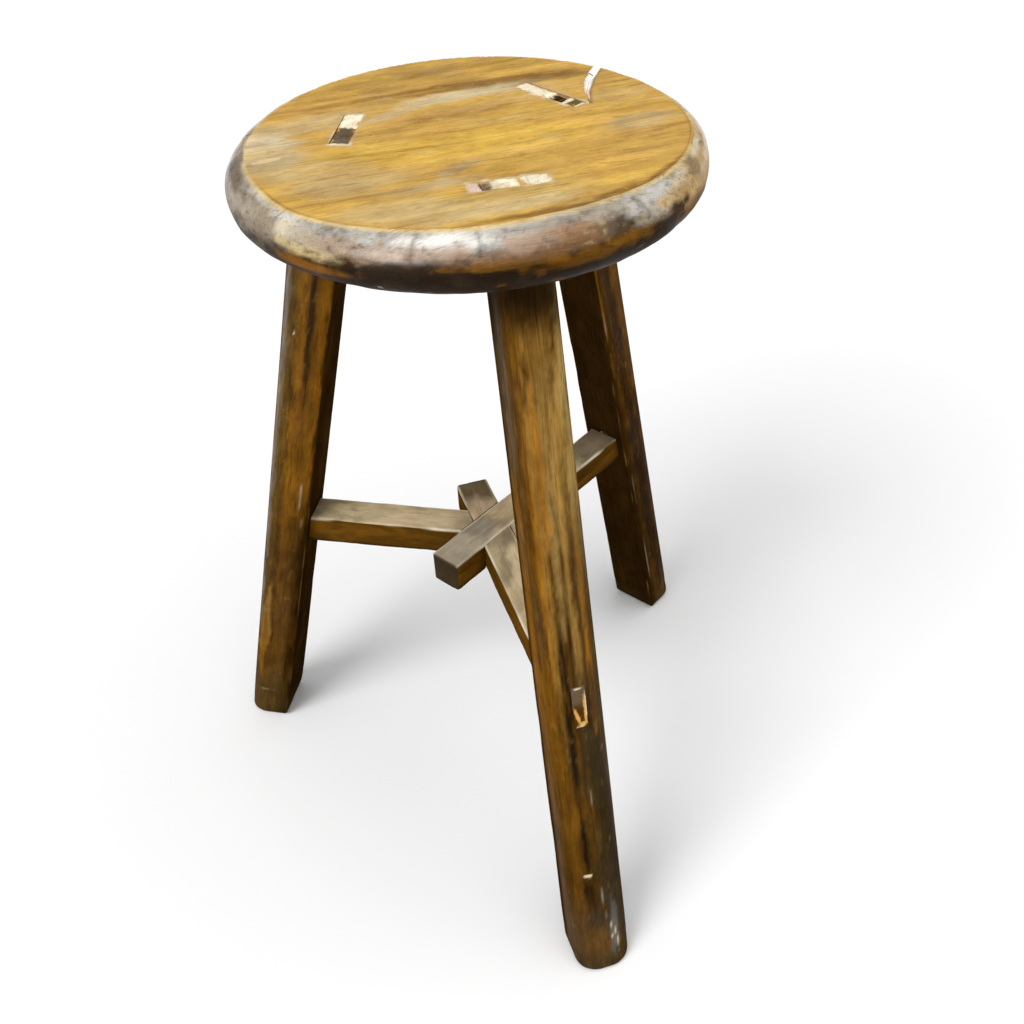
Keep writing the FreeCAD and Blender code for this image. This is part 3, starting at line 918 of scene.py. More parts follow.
def paint_seat(points):
    """Honey top, dark patchy rim with painted highlights, split with painted light and shadow, dusty
    underside.
    """
    x, y, radius, bearing, inside = seat_frame(points)
    way, rim_gap = rim_way(points)
    paint = Paint(len(points), HONEY)
    ragged = fractal(points, (30, 7, 12), 4, 11) * 0.28
    paint.stains_and_painted_light(x, y, SEAT_STAINS, ragged, 0.45)
    streak = fractal(points, (60, 5.0, 12), 6, 12)
    paint.over(0.36 * step(streak, 0.4, 1.3), BROWN)
    paint.over(0.5 * step(-streak, 0.2, 1.1), YELLOW)
    speckle = fractal(points, (7, 3.0, 4), 4, 37)
    paint.over(0.3 * step(speckle, 0.5, 1.3), BROWN)
    paint.over(0.3 * step(-speckle, 0.5, 1.3), YELLOW * 1.08)
    cloud = fractal(points, (26, 11, 12), 5, 35)
    paint.over(0.26 * step(cloud, 0.2, 1.1), BUFF)
    paint.over(0.25 * step(-cloud, 0.4, 1.2), TAN)
    paint.gloss = 0.5 + 0.12 * noise(points, 30, 13)
    for name in LEG_NAMES:
        edge = joint_edge(name, points) + 1.3 * fractal(points, 5, 4, 36)
        paint.over(0.8 * (1.0 - step(edge, 0.1, 1.9)) * step(noise(points, 9, 38), -0.3, 0.3), CREAM)
        paint.over(0.3 * (1.0 - step(edge, 1.0, 4.5)), GREY_HAZE)
    for cx, cy, length, width, tilt in SEAT_FLECKS:
        fleck = spot(x, y, (cx, cy), (length, width), tilt, ragged * 0.6, 0.3)
        paint.over(fleck * 0.9, CREAM)
        paint.strip(fleck)

    rim = Paint(len(points), DARK_BROWN)
    patchy = fractal(points, (15, 15, 7), 5, 14)
    rim.over(0.7 * step(patchy, -0.1, 0.8), GREY_BROWN)
    rim.over(0.55 * step(-patchy, 0.3, 1.0), AMBER)
    # Painted highlight: a silver band along the upper rim, just under the crease.
    rim.over(0.25 * (1.0 - step(way, 0.2, 0.7)), SILVER)
    rough = fractal(points, (9, 9, 5), 5, 15) * 0.45
    rim.stains_and_painted_light(bearing, way, RIM_STAINS_AND_HIGHLIGHTS + LOWER_RIM_STAINS, rough, 0.5)
    behind = step(np.sin(np.radians(bearing)), -0.1, 0.3)
    rim.over(behind * 0.6 * step(noise(points, 34, 16), -0.2, 0.5) * (way < 1.1), GOLD)
    mottle = fractal(points, (4, 4, 2.2), 4, 31)
    right_side = spot(bearing, bearing * 0, (340, 0), (26, 1), 0.0, 0.0, 0.4)
    rim.over((0.5 - 0.35 * right_side) * step(mottle, 0.3, 1.2), DARK_BROWN)
    rim.over(0.4 * step(-mottle, 0.5, 1.2) * (1.0 - step(way, 0.4, 0.9)), BUFF)
    dark_from = np.interp(bearing, *np.array(RIM_DARK_FROM).T, period=360.0)
    shaded = step(way + 0.16 * patchy, dark_from - 0.14, dark_from + 0.2)
    rim.over(0.9 * shaded, BLACK_BROWN * 1.25)
    flaked = step(fractal(points, (10, 10, 4), 4, 32), 0.4, 1.1)
    rim.over(0.5 * shaded * flaked * (way < 1.5), AMBER)
    rim.stains_and_painted_light(bearing, way, LOWER_RIM_STAINS, rough, 0.5, 0.8)
    for at, first, last in RIM_CRACKS:
        wander = bearing - at + 0.9 * fractal(points, 9, 3, 33)
        rim.over(0.45 * np.exp(-(wander / 0.5) ** 2) * (way > first) * (way < last), BLACK_BROWN)
    rim.bare = 0.6 * step(fractal(points, (7, 7, 3), 4, 17), 0.8, 1.4) * (way < 0.9)

    lower_round = (way > 1.5) & (rim_gap < 2.5)
    outside = np.maximum(1.0 - step(inside + 0.25 * rough, -0.5, 0.3), lower_round)
    paint.over(outside, rim.tone)
    paint.bare = np.where(outside > 0.5, rim.bare, paint.bare)
    in_front = 1.0 - step(np.sin(np.radians(bearing)), -0.4, 0.1)
    upper = points[:, 2] > SEAT_TOP - UPPER_BAND
    pale_edge = upper * np.exp(-((inside + 0.5) / 1.3) ** 2)
    pale_edge = pale_edge * step(noise(points, 12, 18) + 0.8, 0.1, 0.8)
    paint.over(0.9 * pale_edge, BUFF * 1.12)
    paint.strip(pale_edge * 0.4)
    dark_edge = upper * np.exp(-((inside - 1.7) / 0.8) ** 2) * in_front
    dark_edge = dark_edge * step(noise(points, 20, 34), -0.5, 0.4)
    paint.over(0.5 * dark_edge, BROWN * 0.7)
    paint.gloss += outside * (0.45 - 0.55 * step(way, 0.45, 0.8))

    below = (points[:, 2] < SEAT_UNDER + 1.2 * MM) & (radius < LOWER_EDGE / MM)
    paint.over(below, DARK_BROWN * 1.3)
    paint.bare = np.where(below, 0.0, paint.bare)
    paint.over(below * 0.5 * step(fractal(points, (60, 9, 9), 4, 19), 0.0, 0.9), GREY_BROWN)
    # Faces inside the seat, the split's walls among them, painted pale rose: painted light that brightens the
    # narrow split, whose walls lie in shade.
    buried = (points[:, 2] < SEAT_TOP - 2.6 * MM) & (points[:, 2] > SEAT_UNDER + 1.6 * MM) & (rim_gap > 1.9)
    paint.over(buried * 0.95, ROSY * 1.25)
    near = split_distance(x, y)
    sunk = (SEAT_TOP - points[:, 2]) / MM
    channel = step(sunk, 1.4, 1.7) * (1.0 - step(sunk, 9.0, 20.0))
    channel = channel * (near < 16.0) * (y > 8.0) * (inside > 0.0)
    # The channel along the split is painted honey like the top, then pink and white towards the rim: the pink
    # and white are a painted glare highlight.
    paint.over(channel, HONEY)
    paint.over(channel * step(y, 17.0, 27.0), PINK)
    paint.over(channel * step(y, 34.0, 42.0), CHALK)
    beyond = x > np.interp(y, [row[1] for row in SPLIT_LINE], [row[0] for row in SPLIT_LINE])
    # Painted shadow: a thin grey-brown line along the split's outer edge.
    line = (1.0 - step(near, 0.2, 1.5)) * (points[:, 2] > SEAT_TOP - 1.8 * MM) * beyond * (y > 8.0)
    paint.over(0.6 * line, GREY_BROWN)
    return paint


def joint_edge(name, points):
    """Distance outside a mortise's edge in the seat's top, in millimetres."""
    corners = JOINTS[name]["mortise"][:, :, 1]
    middle = corners.mean(axis=(0, 1))
    run = (corners[1] - corners[0]).mean(axis=0)
    half_run = np.linalg.norm(run) / 2.0
    run /= np.linalg.norm(run)
    wide = (corners[:, 1] - corners[:, 0]).mean(axis=0)
    half_wide = np.linalg.norm(wide) / 2.0
    wide /= np.linalg.norm(wide)
    away = points - middle
    return np.maximum(np.abs(away @ run) - half_run, np.abs(away @ wide) - half_wide) / MM


def split_distance(x, y):
    """Distance from the edge of the split, in millimetres."""
    known = np.array(SPLIT_LINE)
    nearest = np.full(len(x), 1e3)
    for (ax, ay, aw), (bx, by, bw) in zip(known[:-1], known[1:]):
        run = np.array([bx - ax, by - ay])
        share = np.clip(((x - ax) * run[0] + (y - ay) * run[1]) / (run @ run), 0.0, 1.0)
        gap = np.hypot(x - ax - share * run[0], y - ay - share * run[1]) - (aw + share * (bw - aw)) / 2.0
        nearest = np.minimum(nearest, gap)
    return np.abs(nearest)


def build_seat():
    """Seat board with its mortises and its split."""
    seat = tube("seat_worn", seat_rings())
    wear_seat(seat)
    cutters = [split_cutter()]
    for name in LEG_NAMES:
        corners = stretched(JOINTS[name]["mortise"], 2, 1.5 * MM, 1.5 * MM)
        cutters.append(block("mortise_cutter_" + name, corners, edge=0.7 * MM, gap=6 * MM))
    cut(seat, cutters)
    points = mesh_points(seat)
    finish_piece(seat, "seat", "seat_wood", paint_seat(points), points - AXIS)


# ---------------------------------------------------------------- legs

# Leg stains, and a few rows of painted highlight and painted shade: (round the section from the outer
# face's middle, level, half round, half level, colour, strength), in millimetres.
LEG_STAINS_AND_PAINTED_LIGHT = {
    "left": [
        # Painted sheen on the rounded outer corner: a silver highlight line, and an olive strip that greys
        # the leg's tone.
        (15, 340, 3.5, 180, SILVER, 0.4),
        (20, 352, 5, 190, OLIVE, 0.6),
        (36, 425, 10, 105, AMBER, 0.8),
        (31, 330, 3.5, 180, ORANGE, 0.4),
        (35, 420, 2.4, 66, BLACK_BROWN, 0.85),
        (38, 285, 8, 45, AMBER, 0.7),
        (45, 350, 2.2, 95, ORANGE, 0.55),
        (30, 190, 8, 60, DARK_BROWN, 0.35),
        (44, 150, 3, 110, BLACK_BROWN, 0.35),
        (34, 110, 14, 60, AMBER, 0.35),
        (21, 115, 6, 36, GOLD, 0.85),
        (22, 86, 3, 40, ORANGE, 0.8),
        (-4, 107, 8, 46, GOLD, 0.8),
        (36, 35, 16, 30, OLIVE, 0.45),
    ],
    "right": [
        (-46, 425, 1.2, 95, ORANGE, 0.8),
        (-34, 350, 9, 150, DARK_BROWN, 0.7),
        (-27, 425, 3.2, 95, AMBER, 0.7),
        (-30, 150, 10, 130, BLACK_BROWN, 0.6),
        (-22, 85, 8, 40, DARK_BROWN, 0.4),
    ],
    "front": [
        (-36, 455, 8, 70, DARK_OLIVE, 0.75),
        (-36, 250, 8, 130, ORANGE, 0.5),
        (-36, 90, 8, 80, UMBER, 0.7),
        (-30, 455, 6, 60, GREY_BROWN, 0.45),
        (-14, 360, 5, 120, AMBER, 0.95),
        (-12, 330, 3, 130, GOLD, 0.5),
        (-22, 215, 6, 70, AMBER, 0.75),
        (-5, 385, 3.5, 85, KHAKI, 0.75),
        (2, 400, 4, 100, KHAKI, 0.45),
        (1, 300, 2.0, 90, GOLD, 0.7),
        (6, 350, 1.6, 110, BLACK_BROWN, 0.35),
        (8, 375, 3, 110, GOLD, 0.75),
        # Painted highlight: a soft light patch high on the front leg's outer face.
        (15, 420, 6, 90, KHAKI * 1.3, 0.9),
        (-3, 430, 8, 60, GOLD, 0.5),
        (24, 400, 5, 100, OLIVE, 0.7),
        (16, 265, 6, 90, OLIVE, 0.7),
        (5.5, 255, 3.0, 115, DARK_BROWN, 0.85),
        (-8, 400, 3.2, 50, ORANGE * 1.5, 0.6),
        (-15, 330, 2.2, 60, ORANGE * 1.3, 0.5),
        (10.5, 250, 2.2, 80, ORANGE * 1.4, 0.9),
        (27, 300, 5, 190, DARK_OLIVE, 0.75),
        (-4, 480, 16, 26, AMBER, 0.4),
        # Painted shade: dark patches at the top of the front leg, just under the seat.
        (-3, 493, 9, 13, UMBER * 0.9, 0.85),
        (9, 501, 5, 12, BLACK_BROWN * 1.5, 0.6),
        (-1, 292, 1.5, 60, BLACK_BROWN, 0.5),
        (4, 270, 1.6, 50, GOLD, 0.7),
        (3, 350, 0.9, 56, GOLD * 1.1, 0.3),
        (-8, 227, 2.6, 62, BLACK_BROWN, 0.95),
        (4, 215, 8, 45, DARK_BROWN, 0.7),
        (6, 175, 9, 40, DARK_OLIVE, 0.9),
        (-18, 150, 5, 60, AMBER, 0.75),
        (-12, 150, 3, 22, ORANGE, 0.6),
        (-2, 140, 5, 16, AMBER, 0.5),
        (14, 118, 15, 95, DARK_OLIVE, 0.85),
        (8, 52, 9, 24, DARK_OLIVE, 0.6),
        (0, 34, 26, 30, GREY_BROWN * 0.6, 0.4),
        (3, 128, 3, 14, OLIVE * 1.3, 0.7),
        (-20, 75, 9, 55, UMBER, 0.6),
        (-7, 118, 2.2, 20, BLACK_BROWN, 0.95),
        (-7, 78, 4.5, 12, BLACK_BROWN, 0.75),
        (-3, 30, 8, 14, AMBER, 0.5),
        (8, 38, 4, 22, SILVER, 0.35),
        (-30, 110, 8, 90, BROWN, 0.15),
    ],
}
# Chips and scratches through the finish: (round, level, half round, half level, strength), in millimetres.
LEG_CHIPS = {
    "left": [
        (24, 407, 0.9, 1.4, 0.5), (41, 262, 0.5, 13, 0.22), (44, 212, 0.5, 20, 0.18), (30, 34, 9, 0.6, 0.3),
    ],
    "right": [(-47, 417, 0.5, 55, 0.2), (-47, 182, 0.5, 30, 0.2), (-46, 82, 0.5, 50, 0.18)],
    "front": [
        (-7.5, 93.5, 2.3, 1.6, 1.0), (1, 71, 0.4, 8, 0.2), (3, 55, 0.5, 6, 0.25), (5, 44, 0.8, 3, 0.5),
        (8, 37, 0.6, 4, 0.55), (6, 33, 0.6, 2.0, 0.5), (10, 26, 0.5, 5, 0.45), (11, 15, 1.8, 0.8, 0.45),
        (14, 195, 0.7, 3.0, 0.25), (1, 158, 0.3, 8, 0.14), (7, 150, 0.4, 5, 0.16), (12, 118, 0.4, 4, 0.14),
    ],
}
FOOT_ROUND = {"left": 5.0 * MM, "right": 5.0 * MM, "front": 6.5 * MM}
SHOULDER_GAP = 0.15 * MM
JOINT_GAP = 0.12 * MM
END_GAP = 0.1 * MM


def leg_rings(leg):
    """Rings from the middle of the sole up to the seat."""
    top = SEAT_UNDER - SHOULDER_GAP
    rounding = FOOT_ROUND[leg.name]
    turns = np.radians(np.linspace(90.0, 8.0, 7))
    stations = [
        (0.75 * rounding * (1.0 - math.cos(turn)), rounding * (1.0 - math.sin(turn))) for turn in turns
    ]
    stations += [(0.0, level) for level in np.arange(rounding + 1.5 * MM, top - 0.8 * MM, 2.0 * MM)]
    stations.append((0.0, top))
    rings = []
    caps = (0.1, 0.25, 0.42, 0.6, 0.75, 0.87, 0.95)
    rows = [(stations[0][0], 0.0, share) for share in caps + (1.0,)]
    rows += [(inset, level, 1.0) for inset, level in stations]
    rows += [(0.0, top, share) for share in caps[::-1]]
    for inset, level, share in rows:
        outline = leg.outline(level)
        inner, outer, half = leg.at(level)[:3]
        middle = np.array([(inner + outer) / 2.0, 0.0])
        reach = np.array([(outer - inner) / 2.0, half])
        ring = middle + (outline - middle) * (1.0 - inset / reach) * share
        rings.append(leg.place(ring[:, 0], ring[:, 1], level))
    return np.array(rings)


def leg_coordinates(leg, points):
    """Round the section and level, in millimetres, and distance from the nearer inner arris."""
    around = leg.around(points) / MM
    level = points[:, 2] / MM
    arris = np.abs(np.abs(around) - leg.arris_at(points[:, 2]) / MM)
    return around, level, arris


def leg_grain(leg, points):
    """Along and across the leg, leaning with it."""
    radial, sideways = leg.flat(points)
    inner, outer = leg.at(points[:, 2])[:2]
    offset = 0.4 * LEG_NAMES.index(leg.name)
    return np.stack([points[:, 2] + offset, sideways + offset, radial - (inner + outer) / 2.0], axis=1)


def wear_leg(leg, piece):
    """Uneven hand-planed faces, dents and bruised arrises."""
    points = mesh_points(piece)
    around, level, arris = leg_coordinates(leg, points)
    grain = leg_grain(leg, points)
    seed = 20 + 10 * LEG_NAMES.index(leg.name)
    depth = 0.28 * MM * (1.0 + noise(grain, (120, 22, 22), seed))
    depth += 0.06 * MM * (1.0 + noise(grain, (50, 2.8, 2.8), seed + 1))
    depth += 0.45 * MM * step(fractal(grain, (26, 11, 11), 3, seed + 2), 0.8, 1.6)
    on_arris = 1.0 - step(arris, 0.6, 2.6)
    depth += on_arris * 0.45 * MM * step(fractal(grain, (34, 18, 18), 3, seed + 3), 0.0, 1.3)
    foot = 1.0 - step(level, 4.0, 34.0)
    depth += foot * 0.4 * MM * (1.0 + noise(points, 12, seed + 4)) * (level > 0.5)
    for at, height, wide, high, strength in LEG_CHIPS[leg.name]:
        depth += 0.55 * MM * strength * spot(around, level, (at, height), (wide, high), 0.0, 0.0, 0.4)
    sole = level < 0.4
    press_in(piece, np.where(sole, 0.0, np.maximum(depth, 0.0)))
    points = mesh_points(piece)
    points[:, 2] = np.clip(points[:, 2], 0.0, SEAT_UNDER - SHOULDER_GAP)
    set_points(piece, points)


def paint_leg(leg, points):
    """Dark stain rubbed through to amber in streaks, each leg's own marks, and painted shade and highlights.
    """
    around, level, arris = leg_coordinates(leg, points)
    grain = leg_grain(leg, points)
    seed = 60 + 10 * LEG_NAMES.index(leg.name)
    paint = Paint(len(points), UMBER)
    streak = fractal(grain, (80, 5, 5), 5, seed)
    patch = fractal(grain, (45, 18, 18), 5, seed + 1)
    mottle = fractal(grain, (8, 2.4, 2.4), 4, seed + 6)
    fine = fractal(grain, (34, 1.7, 1.7), 3, seed + 7)
    outer_side = 1.0 - step(np.abs(around), 40.0, 49.0)
    paint.over(0.6 * outer_side * step(streak + 0.5 * patch, 0.0, 1.0), AMBER)
    paint.over(0.5 * step(-streak - 0.4 * patch, 0.2, 1.0), DARK_BROWN)
    paint.over(0.4 * outer_side * step(patch, 0.4, 1.1), OLIVE)
    # Inner faces, turned in under the seat: the dark stain, deepened further as painted shade.
    paint.over((1.0 - outer_side) * (0.9 - 0.25 * step(patch, 0.0, 1.0)), DARK_BROWN * 0.6)
    ragged = fractal(grain, (20, 4, 4), 5, seed + 2) * 0.5
    paint.stains_and_painted_light(around, level, LEG_STAINS_AND_PAINTED_LIGHT[leg.name], ragged, 0.45)
    paint.over(0.26 * outer_side * step(mottle, 0.25, 1.1), DARK_BROWN)
    paint.over(0.2 * outer_side * step(-mottle, 0.5, 1.2), GOLD)
    paint.over(0.25 * step(fine, 0.3, 1.1), DARK_BROWN)
    paint.over(0.22 * outer_side * step(-fine, 0.4, 1.1), ORANGE)
    paint.shade(1.0 - 0.3 * (1.0 - step(level, 120.0, 290.0)))
    # Painted shade: the top of each leg, just under the seat, darkened to near-black.
    paint.over(0.75 * step(level + 6.0 * patch, 464.0, 494.0), BLACK_BROWN * 1.4)
    paint.over(0.5 * (1.0 - step(level + 6 * patch, 3.0, 26.0)), DARK_OLIVE)
    paint.bare = 0.45 * step(fractal(grain, (10, 2, 2), 4, seed + 3), 1.1, 1.6) * outer_side
    worn_edge = (1.0 - step(arris, 0.3, 1.4)) * step(noise(grain, 16, seed + 4), 0.0, 0.7)
    paint.over(0.45 * worn_edge, GOLD * 0.8)
    paint.strip(0.25 * worn_edge)
    for at, height, wide, high, strength in LEG_CHIPS[leg.name]:
        chip = strength * spot(around, level, (at, height), (wide, high), 0.0, ragged, 0.4)
        paint.over(chip, CREAM)
        paint.strip(chip)
    paint.gloss = (0.6 + 0.2 * noise(grain, (50, 14, 14), seed + 5)) * (0.4 + 0.6 * outer_side)
    return paint


# What the seat's three joints show from above: (end of the stretch along the mortise, colour, sunk depth),
# in millimetres from the leg's middle plane. A stretch runs from the one before it.
JOINT_TOPS = {
    "left": [(-1.5, CREAM, 0.2), (21.5, GREY_BROWN, 0.7), (40.0, CREAM, 0.3)],
    "right": [
        (-28.0, CREAM, 0.2), (-21.0, OLIVE * 1.4, 0.5), (-17.5, CREAM, 0.2), (-6.5, DARK_BROWN, 1.2),
        (40.0, CREAM, 0.2),
    ],
    "front": [
        (-14.0, PINK * 0.85, 0.2), (-8.0, GREY_BROWN * 1.3, 0.5), (7.0, CREAM, 0.2), (9.5, TAN, 0.5),
        (40.0, CREAM, 0.2),
    ],
}

# Levels between which a joint's own colour gives way to the colours of its top.
JOINT_TOP_BAND = (SEAT_TOP - 14 * MM, SEAT_TOP - 8 * MM)


def joint_stretches(name, points):
    """For each stretch of a joint's top: how far each point belongs to it, its colour and its sunk depth."""
    leg = LEGS[name]
    sideways = leg.flat(points)[1] / MM + 0.9 * fractal(points, 4, 3, 90)
    start = -99.0
    for stop, tone, sunk in JOINT_TOPS[name]:
        begun = step(sideways, start - 0.5, start + 0.5)
        yield begun * (1.0 - step(sideways, stop - 0.5, stop + 0.5)), tone, sunk
        start = stop


def sink_joint(name, piece):
    """Wears the ends of a tenon or wedge down from the seat's top."""
    points = mesh_points(piece)
    top = step(points[:, 2], SEAT_TOP - 9 * MM, SEAT_TOP - 1 * MM)
    depth = np.zeros(len(points))
    for share, _, sunk in joint_stretches(name, points):
        depth += share * sunk * MM
    depth += 0.16 * MM * (1.0 + fractal(points, 3, 3, 91))
    points[:, 2] -= top * (depth + TOP_GAP + 0.3 * MM)
    set_points(piece, points)


def paint_joint_top(name, points, paint):
    """Cream and dark stretches of a joint, seen in the seat's top."""
    top = step(points[:, 2], *JOINT_TOP_BAND)
    for share, tone, _ in joint_stretches(name, points):
        paint.over(top * share, tone)
        paint.bare = np.where(top * share > 0.5, 0.0, paint.bare)
    dirt = step(fractal(points, (4, 2, 6), 4, 92), 0.35, 1.3)
    paint.over(0.6 * top * dirt, TAN)
    edge = joint_edge(name, points) + 1.5 * fractal(points, (6, 5, 6), 4, 93)
    paint.over(0.85 * top * step(edge, -1.3, -0.3), HONEY)
    paint.gloss = np.where(top > 0.5, 0.2, paint.gloss)


# How far a bar's body runs on into its leg before it is cut off, and how far its tenon reaches back in it.
BODY_OVERLAP = 14 * MM
TENON_ROOT = 8 * MM


def bar_frame(name):
    """Direction and corners of a stretcher, of its tenon, its wedge and its slot in the leg."""
    points = cad_points("stretcher_" + name)
    along = lengthwise(points)
    if along @ LEGS[name].out < 0.0:
        along = -along
    across = np.array([-along[1], along[0], 0.0])
    travel = points @ along
    off = points @ across
    middle = (off.max() + off.min()) / 2.0
    wedge = block_corners(cad_points("stretcher_wedge_" + name), along, (3, 1, 1))
    narrow = np.abs(off - middle) < np.ptp(wedge.reshape(-1, 3) @ across) / 2.0 + 0.2 * MM
    outer = narrow & (travel > travel.max() - 12 * MM)
    tip = block_corners(points[outer], along)
    shoulder = travel[np.abs(off - middle) > 12 * MM].max()
    bar_low, bar_high = points[:, 2].min(), points[:, 2].max()
    start = travel.min()
    side_low, side_high = off.min(), off.max()

    def corner(distance, sideways, level):
        return along * distance + across * sideways + np.array([0.0, 0.0, level])

    body = np.array([
        [[corner(d, s, z) for z in (bar_low, bar_high)] for s in (side_low, side_high)]
        for d in (start, shoulder + BODY_OVERLAP)
    ])
    tenon = tip.copy()
    for j, k in itertools.product((0, 1), repeat=2):
        tenon[0, j, k] = tip[1, j, k] - along * ((tip[1, j, k] @ along) - shoulder + TENON_ROOT)
    slot = np.stack([tenon[:, :, 0], wedge[:, :, 1]], axis=2)
    slot[0] -= along * 10 * MM
    return {
        "along": along, "across": across, "middle": middle, "start": start, "low": bar_low, "high": bar_high,
        "body": body, "tenon": tenon, "wedge": wedge, "slot": slot, "shoulder": shoulder,
        "height": bar_high - bar_low, "half": (body[0, 1, 0] - body[0, 0, 0]) @ across / 2.0,
    }


BARS = {name: bar_frame(name) for name in LEG_NAMES}


def turned_corners(corners):
    """The same block with its x axis as the one that its rings run along."""
    return np.transpose(np.asarray(corners), (1, 2, 0, 3))


def slimmed(corners):
    """The block's corners with the gap of a joint left round the four sides that run along z."""
    for axis in (0, 1):
        corners = stretched(corners, axis, -JOINT_GAP, -JOINT_GAP)
    return corners


def slot_cutter(name):
    """Slot through a leg for a stretcher's tenon and wedge."""
    corners = grown(BARS[name]["slot"], JOINT_GAP)
    corners = stretched(corners, 0, 6 * MM, 8 * MM)
    return block("slot_cutter_" + name, turned_corners(corners), edge=0.3 * MM, gap=8 * MM)


def build_leg(name):
    """Leg with its tenon through the seat and its slot for the stretcher."""
    leg = LEGS[name]
    piece = tube("leg_" + name + "_worn", leg_rings(leg))
    wear_leg(leg, piece)
    cut(piece, [slot_cutter(name)])
    corners = slimmed(stretched(JOINTS[name]["tenon"], 2, -SHOULDER_GAP, 0.0))
    tenon = block("tenon_" + name, corners, edge=0.35 * MM, gap=1.0 * MM)
    sink_joint(name, tenon)
    join(piece, [tenon])
    points = mesh_points(piece)
    paint = paint_leg(leg, points)
    paint_joint_top(name, points, paint)
    finish_piece(piece, "leg_" + name, "leg_wood", paint, leg_grain(leg, points))


# ---------------------------------------------------------------- seat wedges

def build_seat_wedges(name):
    """The two wedges beside a leg's tenon."""
    for node, corners in JOINTS[name].items():
        if not node.startswith("seat_wedge"):
            continue
        piece = block(node + "_worn", slimmed(corners), edge=0.25 * MM, gap=0.8 * MM)
        sink_joint(name, piece)
        points = mesh_points(piece)
        paint = Paint(len(points), BUFF)
        paint_joint_top(name, points, paint)
        finish_piece(piece, node, "pale_wood", paint, points[:, [2, 0, 1]])


# ---------------------------------------------------------------- stretchers

def bar_local(name, points):
    """Along, across and up a stretcher, in metres from its free end, its middle and its underside."""
    bar = BARS[name]
    return np.stack([
        points @ bar["along"] - bar["start"],
        points @ bar["across"] - bar["middle"],
        points[:, 2] - bar["low"],
    ], axis=1)


def lap_cutter(name, low, high):
    """Block of a stretcher's width between two levels, for cutting the others."""
    corners = BARS[name]["body"].copy()
    corners[:, :, 0, 2] = low
    corners[:, :, 1, 2] = high
    corners = stretched(corners, 1, JOINT_GAP / 2.0, JOINT_GAP / 2.0)
    return block("lap_cutter_" + name, turned_corners(corners), edge=0.2 * MM, gap=30 * MM)


FREE_END_ROUND = 4.2 * MM
# Bar tops: (bar, distance from its free end, half length, colour, strength), in millimetres.
BAR_TOP_STAINS = [
    ("front", 8, 30, GREY_BROWN, 0.9), ("front", 14, 14, OLIVE, 0.5), ("right", 18, 34, SILVER * 0.85, 0.5),
    ("right", 62, 26, GREY_BROWN, 0.2), ("right", 116, 34, BUFF, 0.3), ("right", 190, 46, GREY_BROWN, 0.75),
    ("left", 60, 30, GREY_BROWN, 0.4), ("front", 62, 24, GREY_BROWN, 0.5),
]


def wear_bar(name, piece):
    """Rubbed edges, dents, uneven faces and a free end rounded at its corners."""
    points = mesh_points(piece)
    local = bar_local(name, points)
    bar = BARS[name]
    seed = 100 + 10 * LEG_NAMES.index(name)
    half = bar["half"]
    to_side = half - np.abs(local[:, 1])
    to_level = np.minimum(bar["height"] - local[:, 2], local[:, 2])
    edge = np.sort(np.stack([to_side, to_level, local[:, 0]], axis=1), axis=1)[:, 1]
    rough = fractal(local, (24, 12, 12), 4, seed)
    depth = 0.16 * MM * (1.0 + noise(local, (60, 14, 14), seed + 1))
    depth += 0.04 * MM * (1.0 + noise(local, (30, 2, 2), seed + 2))
    depth += 0.5 * MM * step(rough, 0.75, 1.5)
    depth += (1.0 - step(edge, 0.5 * MM, 2.2 * MM)) * 0.5 * MM * step(rough, -0.6, 0.9)
    press_in(piece, depth)
    points = mesh_points(piece)
    local = bar_local(name, points)
    across = FREE_END_ROUND - (half - np.abs(local[:, 1]))
    ahead = FREE_END_ROUND - local[:, 0]
    away = np.hypot(across, ahead)
    over = np.where((across > 0.0) & (ahead > 0.0), np.maximum(away - FREE_END_ROUND, 0.0), 0.0)
    over = over / np.maximum(away, 1e-9)
    inward = over * across * np.sign(local[:, 1])
    points += np.outer(over * ahead, bar["along"]) - np.outer(inward, bar["across"])
    set_points(piece, points)


